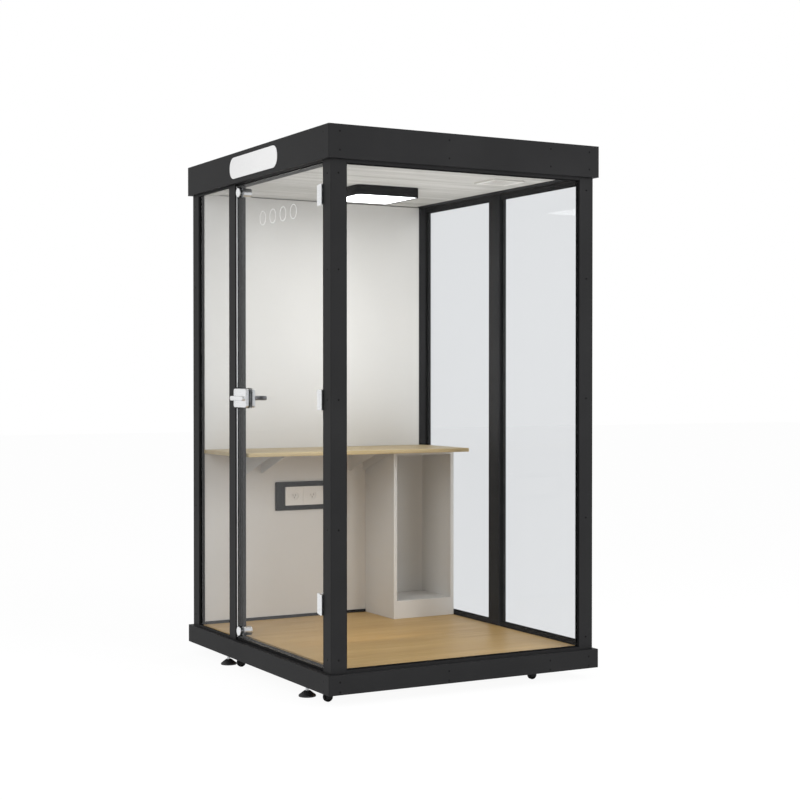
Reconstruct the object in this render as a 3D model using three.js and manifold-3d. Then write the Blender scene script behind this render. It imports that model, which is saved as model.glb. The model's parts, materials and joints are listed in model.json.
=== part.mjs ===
// Acoustic office pod for one person: a glazed cabin with a hinged glass door, a desk and a ceiling lamp.
// Millimetres, +Z up. The door face looks along -Y and the desk wall is on the -X side.
// The origin is on the ground below the middle of the whole object, lever handle included.

import * as THREE from 'three';
import { mergeVertices } from 'three/addons/utils/BufferGeometryUtils.js';
import Module from 'manifold-3d';

const wasm = await Module();
wasm.setup();

// Overall sizes
const WIDTH = 1500; // door face, along X
const DEPTH = 1300; // along Y, plinth to plinth
const HEIGHT = 2300; // ground to roof
const FIT = 0.3; // gap left between neighbouring pieces
const RUNNING = 0.3; // radial gap between a pin and its bore

// Base: a folded steel plinth, one cross beam, a rebated floor
const FOOT_HEIGHT = 50; // ground to plinth
const PLINTH_HEIGHT = 80;
const SHEET = 3; // sheet of plinth, fascia and cross beam
const SETBACK = 18; // plinth and fascia stand this far proud of the frame
const SILL_FLANGE = 108; // plinth top flange below the door
const PLINTH_FLANGE = 75; // plinth top flange on the other sides
const BASE_FLANGE = 80; // plinth bottom flange
const FLOOR_RISE = 8; // floor surface above the plinth
const FLOOR_CORE = 28; // depth of the floor core below the flanges
const FLOOR_CORE_GAP = 2; // core to flange edge
const SILL_WIDTH = 72; // frame face to the floor's front edge
const BEAM_WIDTH = 95;
const BEAM_FROM_REAR = 242.5; // rear plinth face to the middle of the cross beam

// Levelling feet and transport wheels
const FOOT_LEFT = 400; // left plinth face to the left feet
const FOOT_RIGHT = 275; // right plinth face to the right feet
const FOOT_INSET = 38; // front plinth face to the front feet
const FOOT_BEHIND_BEAM = 22.5; // rear feet behind the beam's middle
const PAD_RADIUS = 36;
const PAD_HEIGHT = 24;
const STEM_RADIUS = 7;
const STEM_LENGTH = 71; // stem above the pad
const WHEEL_LEFT = 505; // left plinth face to the left wheels
const WHEEL_RIGHT = 118; // right plinth face to the right wheels
const WHEEL_INSET = 54; // front plinth face to the front wheels
const WHEEL_BEFORE_BEAM = 22.5; // rear wheels before the beam's middle
const WHEEL_RADIUS = 20;
const WHEEL_WIDTH = 20;
const WHEEL_LIFT = 4; // wheels hang clear while the feet carry
const AXLE_RADIUS = 4;
const CHEEK = 3; // fork cheek
const CHEEK_GAP = 1.2;
const CHEEK_LENGTH = 26;

// Frame posts and glazing
const POST = 70; // visible face of a corner post
const LEG = 30; // thickness of a post leg
const REAR_LEG = 34; // thickness of the leg beside the rear glass
const POST_WALL = 4;
const POST_CHAMFER = 2;
const GLASS = 10;
const REVEAL = 8; // frame face to the front and right glass
const REAR_REVEAL = 19; // frame face to the rear glass
const SLOT = 12; // glazing slot depth in posts
const BITE = 10; // glass held in a post slot
const RAIL_SLOT = 8; // glazing slot depth in plinth and fascia rails
const RAIL_BITE = 7;
const RIGHT_UPSTAND = 12;
const RIGHT_DOWNSTAND = 13;
const REAR_UPSTAND = 25;
const REAR_DOWNSTAND = 23;
const SIDELIGHT = 368; // clear width beside the door
const MULLION = 70;
const MULLION_DEPTH = 52;
const REAR_MULLION = 86;
const REAR_MULLION_DEPTH = 42;

// Roof
const FASCIA_HEIGHT = 134;
const SOFFIT_FLANGE = 106; // fascia bottom flange at front and rear
const FASCIA_FLANGE = 60; // fascia bottom flange at the sides
const ROOF_LEDGE = 40;
const ROOF = 10;
const CEILING = 18;
const CEILING_GAP = 7; // ceiling board to the fascia web

// Desk wall
const WALL = 42;

// Door
const CLOSING_GAP = 5;
const HINGE_GAP = 6;
const DOOR_UNDERCUT = 14;
const DOOR_HEADROOM = 10;
const HINGE_FROM_TOP = 126;
const HINGE_FROM_BOTTOM = 255;
const HINGE_HEIGHT = 82;
const HINGE_PLATE_WIDTH = 36;
const HINGE_PLATE = 6;
const HINGE_PLATE_BACK = 14; // plate edge to glass edge
const KNUCKLE_RADIUS = 6;
const KNUCKLE_END = 22; // length of each door knuckle
const KNUCKLE_GAP = 1.5;
const PIN_RADIUS = 4;
const PIN_OUT = 7; // pin axis in front of the frame face
const PIN_FROM_POST = 1;
const LEAF = 3;
const LEAF_DEPTH = 26;
const BOSS_RADIUS = 6;
const BOSS_SPREAD = 22;

// Magnetic catches at the closing edge
const CATCH_EDGE = 30; // glass edges to the catch axis
const ARMATURE_RADIUS = 21;
const ARMATURE = 10;
const ARMATURE_BACK = 2.7;
const ARMATURE_BACK_RADIUS = 18;
const ARMATURE_STEM = 7;
const CATCH_RADIUS = 20;
const CATCH_LENGTH = 38;
const CATCH_ARM = 20;

// Lock and lever handles
const LOCK_RISE = 1076; // floor to the spindle
const LOCK_EDGE = 1; // glass edge to lock case
const LOCK_WIDTH = 135;
const LOCK_HEIGHT = 84;
const LOCK_CORNER = 12;
const LOCK_BEVEL = 4;
const LOCK_OUT = 20;
const LOCK_IN = 18;
const LOCK_NOTCH = 44; // height of the notch in the glass
const LOCK_NOTCH_GAP = 2;
const NOTCH_LENGTH = 119;
const SPINDLE_FROM_EDGE = 111;
const SPINDLE_RADIUS = 5;
const SPINDLE_BITE = 16; // spindle held in the inside lever
const LEVER_LENGTH = 135;
const LEVER_HEIGHT = 20;
const LEVER_THICK = 18;
const LEVER_BEVEL = 3;
const LEVER_REACH = 60; // lock case to the outside lever's outer face
const TURN_LENGTH = 58; // inside thumb turn
const TURN_REACH = 46; // lock case to the thumb turn's outer face
const NECK_RADIUS = 10;
const BOLT_LENGTH = 67;
const BOLT_HEIGHT = 20;
const BOLT_THICK = 8;
const BOLT_NOSE = 1; // bolt out of the case at rest
const BOLT_GAP = 0.6;
const KEEPER = 2;
const KEEPER_WIDTH = 24;
const KEEPER_HEIGHT = 64;

// Ceiling lamp and ventilation
const LAMP_X = -125;
const LAMP_Y = 12;
const LAMP_SIDE = 320;
const LAMP_HEIGHT = 45;
const LAMP_CORNER = 26;
const LAMP_WALL = 5;
const LAMP_TOP = 7;
const DIFFUSER = 5;
const DIFFUSER_INSET = 2; // diffuser above the lamp's lower rim
const FAN_X = 400;
const FAN_Y = 365;
const FAN_SIDE = 120;
const FAN_DEPTH = 38;
const FAN_BORE = 57;
const FAN_HUB = 22;
const FAN_HUB_PLATE = 5;
const FAN_STRUT = 6;
const FAN_PIN = 4;
const BLADE_COUNT = 7;
const BLADE_TIP = 54;
const BLADE = 2.4;
const BLADE_CHORD = 24;
const BLADE_PITCH = 38;
const ROTOR_HEIGHT = 24;
const GRILLE_SIDE = 160;
const GRILLE = 6;
const SLOT_COUNT = 9;
const GRILLE_SLOT = 7;
const GRILLE_PITCH = 13;
const GRILLE_SLOT_LENGTH = 124;
const EXHAUST_SLOT_LENGTH = 100;

// Desk, brackets and cabinet
const DESK_RISE = 827; // floor to desk surface
const DESK_DEPTH = 457;
const DESK = 18;
const DESK_CORNER = 12;
const DESK_BEVEL = 2;
const DESK_END_GAP = 5;
const BRACKET_WIDTH = 80;
const BRACKET_HEIGHT = 102;
const BRACKET_REACH = 270;
const BRACKET_SHEET = 3;
const BRACKET_NOSE = 12;
const BRACKET_FROM_END = 225; // desk's door end to the middle of the left bracket
const BRACKET_FROM_CABINET = 11.4; // cabinet side to the right bracket
const CABINET_WIDTH = 336;
const CABINET_DEPTH = 297;
const BOARD = 18;
const NICHE_RISE = 87; // floor to the niche shelf

// Socket panel
const PANEL_Y = -46;
const PANEL_RISE = 592; // floor to the middle of the panel
const PANEL_WIDTH = 385;
const PANEL_HEIGHT = 138;
const PANEL = 8;
const PANEL_CORNER = 4;
const MODULE_PITCH = 96;
const MODULE_COUNT = 3;
const MODULE_HEIGHT = 90;
const INSERT = 8;
const INSERT_CORNER = 3;
const GROOVE = 1.5;
const SOCKET_WELL_RADIUS = 20;
const SOCKET_WELL = 4;
const ROCKER_SIDE = 56;
const ROCKER = 5;
const ROCKER_GAP = 0.7;
const ROCKER_POCKET = 6;
const ROCKER_PIVOT = 1.5; // pivot below the insert's front
const ROCKER_TILT = 3; // degrees

// Derived places
const HALF_WIDTH = WIDTH / 2;
const HALF_DEPTH = DEPTH / 2;
const FRAME_X = HALF_WIDTH - SETBACK;
const FRAME_Y = HALF_DEPTH - SETBACK;
const POST_X = FRAME_X - POST;
const POST_Y = FRAME_Y - POST;
const PLINTH_TOP = FOOT_HEIGHT + PLINTH_HEIGHT;
const FASCIA_BOTTOM = HEIGHT - FASCIA_HEIGHT;
const FLOOR_TOP = PLINTH_TOP + FLOOR_RISE;
const FLOOR_UNDER = PLINTH_TOP - FLOOR_CORE;
const CEILING_UNDER = FASCIA_BOTTOM + SHEET + FIT;
const CEILING_TOP = CEILING_UNDER + CEILING;
const GLASS_FRONT = REVEAL - FRAME_Y;
const GLASS_BACK = GLASS_FRONT + GLASS;
const GLASS_MIDDLE = GLASS_FRONT + GLASS / 2;
const REAR_INNER = FRAME_Y - REAR_MULLION_DEPTH;
const WALL_INNER = -FRAME_X + WALL;
const LINING_INNER = -POST_X; // flush with the rear post
const ROOM_FACE = LINING_INNER + FIT; // where pieces hang on the lining
const MULLION_LEFT = SIDELIGHT - POST_X;
const MULLION_RIGHT = MULLION_LEFT + MULLION;
const DOOR_LEFT = MULLION_RIGHT + CLOSING_GAP;
const DOOR_RIGHT = POST_X - HINGE_GAP;
const DOOR_BOTTOM = PLINTH_TOP + DOOR_UNDERCUT;
const DOOR_TOP = FASCIA_BOTTOM - DOOR_HEADROOM;
const LOCK_Z = FLOOR_TOP + LOCK_RISE;
const LOCK_LEFT = DOOR_LEFT + LOCK_EDGE;
const LOCK_FRONT = GLASS_FRONT - LOCK_OUT;
const LOCK_BACK = GLASS_BACK + LOCK_IN;
const SPINDLE_X = DOOR_LEFT + SPINDLE_FROM_EDGE;
const PIN_X = POST_X - PIN_FROM_POST;
const PIN_Y = -FRAME_Y - PIN_OUT;
const DESK_UNDER = FLOOR_TOP + DESK_RISE - DESK;
const DESK_ENDS = [MULLION_DEPTH - FRAME_Y + DESK_END_GAP, REAR_INNER - DESK_END_GAP];
const CABINET_Y = [REAR_INNER - 2 * FIT - CABINET_WIDTH, REAR_INNER - 2 * FIT];
const BRACKET_LEFT_Y = DESK_ENDS[0] + BRACKET_FROM_END;
const BRACKET_RIGHT_Y = CABINET_Y[0] - BRACKET_FROM_CABINET - BRACKET_WIDTH / 2;
const BEAM_Y = HALF_DEPTH - BEAM_FROM_REAR;
const BEAM_BOTTOM = FOOT_HEIGHT + SHEET + FIT;
const FOOT_X = [FOOT_LEFT - HALF_WIDTH, HALF_WIDTH - FOOT_RIGHT];
const WHEEL_X = [WHEEL_LEFT - HALF_WIDTH, HALF_WIDTH - WHEEL_RIGHT];
const FRONT_FOOT_Y = FOOT_INSET - HALF_DEPTH;
const REAR_FOOT_Y = BEAM_Y + FOOT_BEHIND_BEAM;
const FRONT_WHEEL_Y = WHEEL_INSET - HALF_DEPTH;
const REAR_WHEEL_Y = BEAM_Y - WHEEL_BEFORE_BEAM;
const WHEEL_Z = WHEEL_LIFT + WHEEL_RADIUS;
const CATCH_X = DOOR_LEFT + CATCH_EDGE;
const LEVER_FRONT = LOCK_FRONT - LEVER_REACH;
const LEVER_OVERHANG = Math.max(0, -HALF_DEPTH - LEVER_FRONT);
const ROUND = 28; // sides of a round piece
const FINE_ROUND = 16; // sides of a small pin or hole
const CORNER_STEPS = 4;
const OVERLAP = 1; // how far joined solids run into each other

// Materials
function finish(color, roughness, metalness) {
  return new THREE.MeshStandardMaterial({ color, roughness, metalness });
}
const FRAME_PAINT = finish(0x38383a, 0.55, 0.3);
const SILVER = finish(0xd4d5d6, 0.3, 0.9);
const BLACK_RUBBER = finish(0x161617, 0.8, 0);
const OAK_FLOOR = finish(0xb99b6e, 0.5, 0);
const OAK_DESK = finish(0xcdb991, 0.45, 0);
const CEILING_WOOD = finish(0xb9b6b0, 0.6, 0);
const WHITE_BOARD = finish(0xdedddb, 0.7, 0);
const WHITE_PLASTIC = finish(0xe9e8e4, 0.4, 0);
const BLACK_PLASTIC = finish(0x2a2a2c, 0.5, 0);
const DIFFUSER_WHITE = finish(0xffffff, 0.5, 0);
const CLEAR_GLASS = new THREE.MeshStandardMaterial({
  color: 0xe6eceb, roughness: 0.05, metalness: 0, transparent: true, opacity: 0.3,
});

// Solids: join and cut closed geometries
function toSolid(geometry) {
  const bare = geometry.clone();
  bare.deleteAttribute('normal');
  bare.deleteAttribute('uv');
  const merged = mergeVertices(bare);
  const corners = [];
  const index = merged.index.array;
  for (let i = 0; i < index.length; i += 3) {
    const [a, b, c] = [index[i], index[i + 1], index[i + 2]];
    if (a !== b && b !== c && c !== a) corners.push(a, b, c);
  }
  const vertProperties = new Float32Array(merged.attributes.position.array);
  return new wasm.Manifold(new wasm.Mesh({ numProp: 3, vertProperties, triVerts: new Uint32Array(corners) }));
}

function toGeometry(solid) {
  const mesh = solid.getMesh();
  const geometry = new THREE.BufferGeometry();
  geometry.setAttribute('position', new THREE.BufferAttribute(mesh.vertProperties, 3));
  geometry.setIndex(new THREE.BufferAttribute(mesh.triVerts, 1));
  return geometry;
}

function join(first, ...others) {
  return toGeometry(others.reduce((solid, next) => solid.add(toSolid(next)), toSolid(first)));
}

function cut(first, ...tools) {
  return toGeometry(tools.reduce((solid, tool) => solid.subtract(toSolid(tool)), toSolid(first)));
}

// Simple forms
function box(x, y, z) {
  const geometry = new THREE.BoxGeometry(x[1] - x[0], y[1] - y[0], z[1] - z[0]);
  return geometry.translate((x[0] + x[1]) / 2, (y[0] + y[1]) / 2, (z[0] + z[1]) / 2);
}

function around(middle, size) {
  return [middle - size / 2, middle + size / 2];
}

function inOrder(a, b) {
  return [Math.min(a, b), Math.max(a, b)];
}

function rod(axis, radius, range, [p, q], sides = FINE_ROUND) {
  const geometry = new THREE.CylinderGeometry(radius, radius, range[1] - range[0], sides);
  const middle = (range[0] + range[1]) / 2;
  if (axis === 'x') return geometry.rotateZ(Math.PI / 2).translate(middle, p, q);
  if (axis === 'y') return geometry.translate(p, middle, q);
  return geometry.rotateX(Math.PI / 2).translate(p, q, middle);
}

function outline(points) {
  return new THREE.Shape(points.map(([x, y]) => new THREE.Vector2(x, y)));
}

function rectangleHole([x0, x1], [y0, y1]) {
  return outline([[x0, y0], [x1, y0], [x1, y1], [x0, y1]]);
}

function roundedRectangle(width, height, radius) {
  const [x, y] = [width / 2 - radius, height / 2 - radius];
  const shape = new THREE.Shape();
  shape.absarc(x, y, radius, 0, Math.PI / 2);
  shape.absarc(-x, y, radius, Math.PI / 2, Math.PI);
  shape.absarc(-x, -y, radius, Math.PI, 1.5 * Math.PI);
  shape.absarc(x, -y, radius, 1.5 * Math.PI, 2 * Math.PI);
  return shape;
}

function prism(shape, depth) {
  return new THREE.ExtrudeGeometry(shape, { depth, bevelEnabled: false, curveSegments: CORNER_STEPS });
}

// A slab with rounded corners and eased edges, from 0 to thick along Z
function easedSlab(width, height, corner, thick, bevel) {
  const shape = roundedRectangle(width - 2 * bevel, height - 2 * bevel, corner - bevel);
  const settings = { bevelEnabled: true, bevelThickness: bevel, bevelSize: bevel, bevelSegments: 2 };
  const depth = thick - 2 * bevel;
  const slab = new THREE.ExtrudeGeometry(shape, { depth, curveSegments: CORNER_STEPS, ...settings });
  return slab.translate(0, 0, bevel);
}

// A revolved solid about Z; the profile is [radius, height] pairs, counter-clockwise
function revolve(profile, sides = ROUND) {
  const points = profile.map(([radius, height]) => new THREE.Vector2(radius, height));
  return new THREE.LatheGeometry(points, sides).rotateX(Math.PI / 2);
}

function addPiece(group, name, geometry, material) {
  const mesh = new THREE.Mesh(geometry, material);
  mesh.name = name;
  group.add(mesh);
  return mesh;
}

// Sides of the pod: rails are drawn as the front one and turned into place
const SIDES = {
  front: { turn: 0, length: WIDTH, out: HALF_DEPTH, flange: SOFFIT_FLANGE },
  right: {
    turn: Math.PI / 2, length: DEPTH, out: HALF_WIDTH, flange: FASCIA_FLANGE, post: POST_Y, rail: LEG,
  },
  rear: {
    turn: Math.PI, length: WIDTH, out: HALF_DEPTH, flange: SOFFIT_FLANGE, post: POST_X, rail: REAR_LEG,
  },
  left: { turn: -Math.PI / 2, length: DEPTH, out: HALF_WIDTH, flange: FASCIA_FLANGE },
};

// Extrudes a section of [inward, height] points between two mitred ends
function mitredRail(section, side) {
  const geometry = prism(outline(section), 1);
  const place = geometry.attributes.position;
  for (let i = 0; i < place.count; i += 1) {
    const inward = place.getX(i);
    const end = Math.sign(place.getZ(i) - 0.5) * (side.length / 2 - inward - FIT);
    place.setXYZ(i, end, inward - side.out, place.getY(i));
  }
  return geometry;
}

function addRails(pod, name, rails) {
  for (const [side, geometry] of Object.entries(rails)) {
    addPiece(pod, `${name}_${side}`, geometry, FRAME_PAINT).rotation.z = SIDES[side].turn;
  }
}

// Glazing rail between two posts, with a slot for the glass on its free edge
function glazingRail(side, reveal, from, to) {
  const span = [-side.post + FIT, side.post - FIT];
  const face = SETBACK - side.out;
  const slot = [face + reveal - FIT, face + reveal + GLASS + FIT];
  const rail = box(span, [face, face + side.rail], inOrder(from, to));
  const floor = to - Math.sign(to - from) * RAIL_SLOT;
  const past = to + Math.sign(to - from) * OVERLAP;
  return cut(rail, box([span[0] - OVERLAP, span[1] + OVERLAP], slot, inOrder(floor, past)));
}

// Room for the rear mullion, from a plinth top upwards or from a fascia bottom downwards
function mullionRoom(seat) {
  const half = REAR_MULLION / 2 + FIT;
  const z = seat === PLINTH_TOP ? [seat, seat + 2 * REAR_UPSTAND] : [seat - 2 * REAR_DOWNSTAND, seat];
  return box([-half, half], [SETBACK - HALF_DEPTH - OVERLAP, SETBACK - HALF_DEPTH + 2 * REAR_LEG], z);
}

// Plinth: a folded channel on each side
function plinthSection(topFlange) {
  const [low, high] = [FOOT_HEIGHT, PLINTH_TOP];
  return [
    [0, low], [BASE_FLANGE, low], [BASE_FLANGE, low + SHEET], [SHEET, low + SHEET],
    [SHEET, high - SHEET], [topFlange, high - SHEET], [topFlange, high], [0, high],
  ];
}

// Fork of a transport wheel: a plate, two cheeks and the axle, hung from a steel underside
function wheelFork(x, y, underside) {
  const half = WHEEL_WIDTH / 2 + CHEEK_GAP;
  const plateZ = [underside - CHEEK, underside + OVERLAP];
  const plate = box(around(x, 2 * (half + CHEEK)), around(y, 1.6 * CHEEK_LENGTH), plateZ);
  const cheekY = around(y, CHEEK_LENGTH);
  const cheekZ = [WHEEL_Z - 2 * AXLE_RADIUS, underside + OVERLAP];
  const cheeks = [x - half - CHEEK, x + half].map((at) => box([at, at + CHEEK], cheekY, cheekZ));
  const axle = rod('x', AXLE_RADIUS, [x - half - CHEEK / 2, x + half + CHEEK / 2], [y, WHEEL_Z]);
  return join(plate, ...cheeks, axle);
}

function stemHole(x, y) {
  return rod('z', STEM_RADIUS + RUNNING, [0, FLOOR_UNDER], [x, y]);
}

function plinthFront() {
  const rail = mitredRail(plinthSection(SILL_FLANGE), SIDES.front);
  const forks = WHEEL_X.map((x) => wheelFork(x, FRONT_WHEEL_Y, FOOT_HEIGHT));
  return cut(join(rail, ...forks), ...FOOT_X.map((x) => stemHole(x, FRONT_FOOT_Y)));
}

function plinthWithUpstand(side, reveal, upstand) {
  const rail = mitredRail(plinthSection(PLINTH_FLANGE), side);
  const stand = glazingRail(side, reveal, PLINTH_TOP - OVERLAP, PLINTH_TOP + upstand);
  return side === SIDES.rear ? cut(join(rail, stand), mullionRoom(PLINTH_TOP)) : join(rail, stand);
}

function crossBeam() {
  const [low, high] = [BEAM_BOTTOM, FLOOR_UNDER - FIT];
  const half = BEAM_WIDTH / 2;
  const section = outline([
    [-half, low], [half, low], [half, high], [half - SHEET, high],
    [half - SHEET, low + SHEET], [SHEET - half, low + SHEET], [SHEET - half, high], [-half, high],
  ]);
  const length = WIDTH - 2 * (SHEET + FIT);
  const channel = standUp(prism(section, length), -length / 2, BEAM_Y, 0);
  const forks = WHEEL_X.map((x) => wheelFork(x, REAR_WHEEL_Y, low));
  return cut(join(channel, ...forks), ...FOOT_X.map((x) => stemHole(x, REAR_FOOT_Y)));
}

// Floor: a board with a thicker core that drops between the plinth flanges
function floorPanel() {
  const board = box(
    [WALL_INNER + FIT, FRAME_X - LEG - FIT],
    [SILL_WIDTH - FRAME_Y, REAR_INNER - FIT],
    [PLINTH_TOP + FIT, FLOOR_TOP],
  );
  const coreX = HALF_WIDTH - PLINTH_FLANGE - FLOOR_CORE_GAP;
  const coreY = [SILL_FLANGE + FLOOR_CORE_GAP - HALF_DEPTH, HALF_DEPTH - PLINTH_FLANGE - FLOOR_CORE_GAP];
  const slab = join(board, box([-coreX, coreX], coreY, [FLOOR_UNDER, PLINTH_TOP + FIT + OVERLAP]));
  const cornerZ = [FLOOR_UNDER - OVERLAP, FLOOR_TOP + OVERLAP];
  return cut(slab, box([-HALF_WIDTH, FIT - POST_X], [POST_Y - FIT, HALF_DEPTH], cornerZ));
}

// Levelling foot: a rubber cone pad on a threaded stem
function levellingFoot() {
  return revolve([
    [0, 0], [PAD_RADIUS, 0], [PAD_RADIUS, 0.25 * PAD_HEIGHT], [0.86 * PAD_RADIUS, 0.42 * PAD_HEIGHT],
    [0.45 * PAD_RADIUS, 0.9 * PAD_HEIGHT], [0.36 * PAD_RADIUS, PAD_HEIGHT], [STEM_RADIUS, PAD_HEIGHT],
    [STEM_RADIUS, PAD_HEIGHT + STEM_LENGTH], [0, PAD_HEIGHT + STEM_LENGTH],
  ]);
}

function transportWheel() {
  const half = WHEEL_WIDTH / 2;
  const bore = AXLE_RADIUS + RUNNING;
  const rim = 0.72 * WHEEL_RADIUS;
  const dish = 0.7 * half;
  const profile = [
    [bore, -half], [0.45 * WHEEL_RADIUS, -half], [0.5 * WHEEL_RADIUS, -dish], [rim, -dish],
    [0.78 * WHEEL_RADIUS, -half], [0.93 * WHEEL_RADIUS, -0.9 * half],
    [WHEEL_RADIUS, -0.55 * half], [WHEEL_RADIUS, 0.55 * half],
    [0.93 * WHEEL_RADIUS, 0.9 * half], [0.78 * WHEEL_RADIUS, half], [rim, dish], [0.5 * WHEEL_RADIUS, dish],
    [0.45 * WHEEL_RADIUS, half], [bore, half], [bore, -half],
  ];
  return revolve(profile).rotateY(Math.PI / 2);
}

function buildBase(pod) {
  addRails(pod, 'plinth', {
    front: plinthFront(),
    right: plinthWithUpstand(SIDES.right, REVEAL, RIGHT_UPSTAND),
    rear: plinthWithUpstand(SIDES.rear, REAR_REVEAL, REAR_UPSTAND),
    left: mitredRail(plinthSection(PLINTH_FLANGE), SIDES.left),
  });
  addPiece(pod, 'cross_beam', crossBeam(), FRAME_PAINT);
  addPiece(pod, 'floor_panel', floorPanel(), OAK_FLOOR);
  const rows = [['front', FRONT_FOOT_Y, FRONT_WHEEL_Y], ['rear', REAR_FOOT_Y, REAR_WHEEL_Y]];
  for (const [row, footY, wheelY] of rows) {
    ['left', 'right'].forEach((column, i) => {
      const foot = addPiece(pod, `foot_${row}_${column}`, levellingFoot(), BLACK_RUBBER);
      foot.position.set(FOOT_X[i], footY, 0);
      const wheel = addPiece(pod, `wheel_${row}_${column}`, transportWheel(), BLACK_RUBBER);
      wheel.position.set(WHEEL_X[i], wheelY, WHEEL_Z);
    });
  }
}

// Corner post: a hollow angle profile; a reveal gives the glazing slot in the end of that leg
function cornerPost(signX, signY, faceReveal, sideReveal, faceLeg) {
  const faceSlot = faceReveal === null ? [] : [
    [POST, faceReveal - FIT], [POST - SLOT, faceReveal - FIT],
    [POST - SLOT, faceReveal + GLASS + FIT], [POST, faceReveal + GLASS + FIT],
  ];
  const sideSlot = sideReveal === null ? [] : [
    [sideReveal + GLASS + FIT, POST], [sideReveal + GLASS + FIT, POST - SLOT],
    [sideReveal - FIT, POST - SLOT], [sideReveal - FIT, POST],
  ];
  const place = ([u, v]) => [signX * (FRAME_X - u), signY * (FRAME_Y - v)];
  const shape = outline([
    [POST_CHAMFER, 0], [POST, 0], ...faceSlot, [POST, faceLeg], [LEG, faceLeg],
    [LEG, POST], ...sideSlot, [0, POST], [0, POST_CHAMFER],
  ].map(place));
  const core = [POST_WALL, LEG - POST_WALL];
  const faceCore = [POST_WALL, faceLeg - POST_WALL];
  const faceWing = [LEG + POST_WALL, POST - SLOT - POST_WALL];
  const sideWing = [faceLeg + POST_WALL, POST - SLOT - POST_WALL];
  const cells = [[core, faceCore], [faceWing, faceCore], [core, sideWing]];
  return cut(postPrism(shape), ...cells.map((cell) => postCell(cell, place)));
}

// Corner post with a square profile, slotted for the rear glass
function squarePost(signX, signY, reveal) {
  const place = ([u, v]) => [signX * (FRAME_X - u), signY * (FRAME_Y - v)];
  const shape = outline([
    [POST_CHAMFER, 0], [POST, 0], [POST, reveal - FIT], [POST - SLOT, reveal - FIT],
    [POST - SLOT, reveal + GLASS + FIT], [POST, reveal + GLASS + FIT],
    [POST, POST], [0, POST], [0, POST_CHAMFER],
  ].map(place));
  const inside = [POST_WALL, POST - SLOT - POST_WALL];
  return cut(postPrism(shape), postCell([inside, [POST_WALL, POST - POST_WALL]], place));
}

function postPrism(shape) {
  return prism(shape, FASCIA_BOTTOM - PLINTH_TOP - 2 * FIT).translate(0, 0, PLINTH_TOP + FIT);
}

function postCell([u, v], place) {
  const corners = [place([u[0], v[0]]), place([u[1], v[1]])];
  const [x, y] = [0, 1].map((i) => corners.map((corner) => corner[i]).sort((a, b) => a - b));
  return box(x, y, [PLINTH_TOP, FASCIA_BOTTOM]);
}

// Door mullion: a hollow box with a glazing slot on one side and the bolt hole on the other
function doorMullion() {
  const [front, back] = [-FRAME_Y, MULLION_DEPTH - FRAME_Y];
  const slot = [GLASS_FRONT - FIT, GLASS_BACK + FIT];
  const shape = outline([
    [MULLION_LEFT, front], [MULLION_RIGHT, front], [MULLION_RIGHT, back], [MULLION_LEFT, back],
    [MULLION_LEFT, slot[1]], [MULLION_LEFT + SLOT, slot[1]],
    [MULLION_LEFT + SLOT, slot[0]], [MULLION_LEFT, slot[0]],
  ]);
  const hollowX = [MULLION_LEFT + SLOT + POST_WALL, MULLION_RIGHT - POST_WALL];
  shape.holes.push(rectangleHole(hollowX, [front + POST_WALL, back - POST_WALL]));
  return cut(postPrism(shape), boltHole([MULLION_RIGHT - POST_WALL - OVERLAP, MULLION_RIGHT + OVERLAP]));
}

function boltHole(x) {
  return box(x, around(GLASS_MIDDLE, BOLT_THICK + 2 * BOLT_GAP), around(LOCK_Z, BOLT_HEIGHT + 2 * BOLT_GAP));
}

function rearMullion() {
  const half = REAR_MULLION / 2;
  const [inner, outer] = [REAR_INNER, FRAME_Y];
  const slot = [FRAME_Y - REAR_REVEAL - GLASS - FIT, FRAME_Y - REAR_REVEAL + FIT];
  const shape = outline([
    [-half, inner], [half, inner],
    [half, slot[0]], [half - SLOT, slot[0]], [half - SLOT, slot[1]], [half, slot[1]],
    [half, outer], [-half, outer],
    [-half, slot[1]], [SLOT - half, slot[1]], [SLOT - half, slot[0]], [-half, slot[0]],
  ]);
  const hollow = half - SLOT - POST_WALL;
  shape.holes.push(rectangleHole([-hollow, hollow], [inner + POST_WALL, outer - POST_WALL]));
  return postPrism(shape);
}

function buildFrame(pod) {
  addPiece(pod, 'post_front_left', cornerPost(-1, -1, REVEAL, null, LEG), FRAME_PAINT);
  addPiece(pod, 'post_front_right', cornerPost(1, -1, null, REVEAL, LEG), FRAME_PAINT);
  addPiece(pod, 'post_rear_left', squarePost(-1, 1, REAR_REVEAL), FRAME_PAINT);
  addPiece(pod, 'post_rear_right', cornerPost(1, 1, REAR_REVEAL, REVEAL, REAR_LEG), FRAME_PAINT);
  addPiece(pod, 'door_mullion', doorMullion(), FRAME_PAINT);
  addPiece(pod, 'rear_mullion', rearMullion(), FRAME_PAINT);
}

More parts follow.
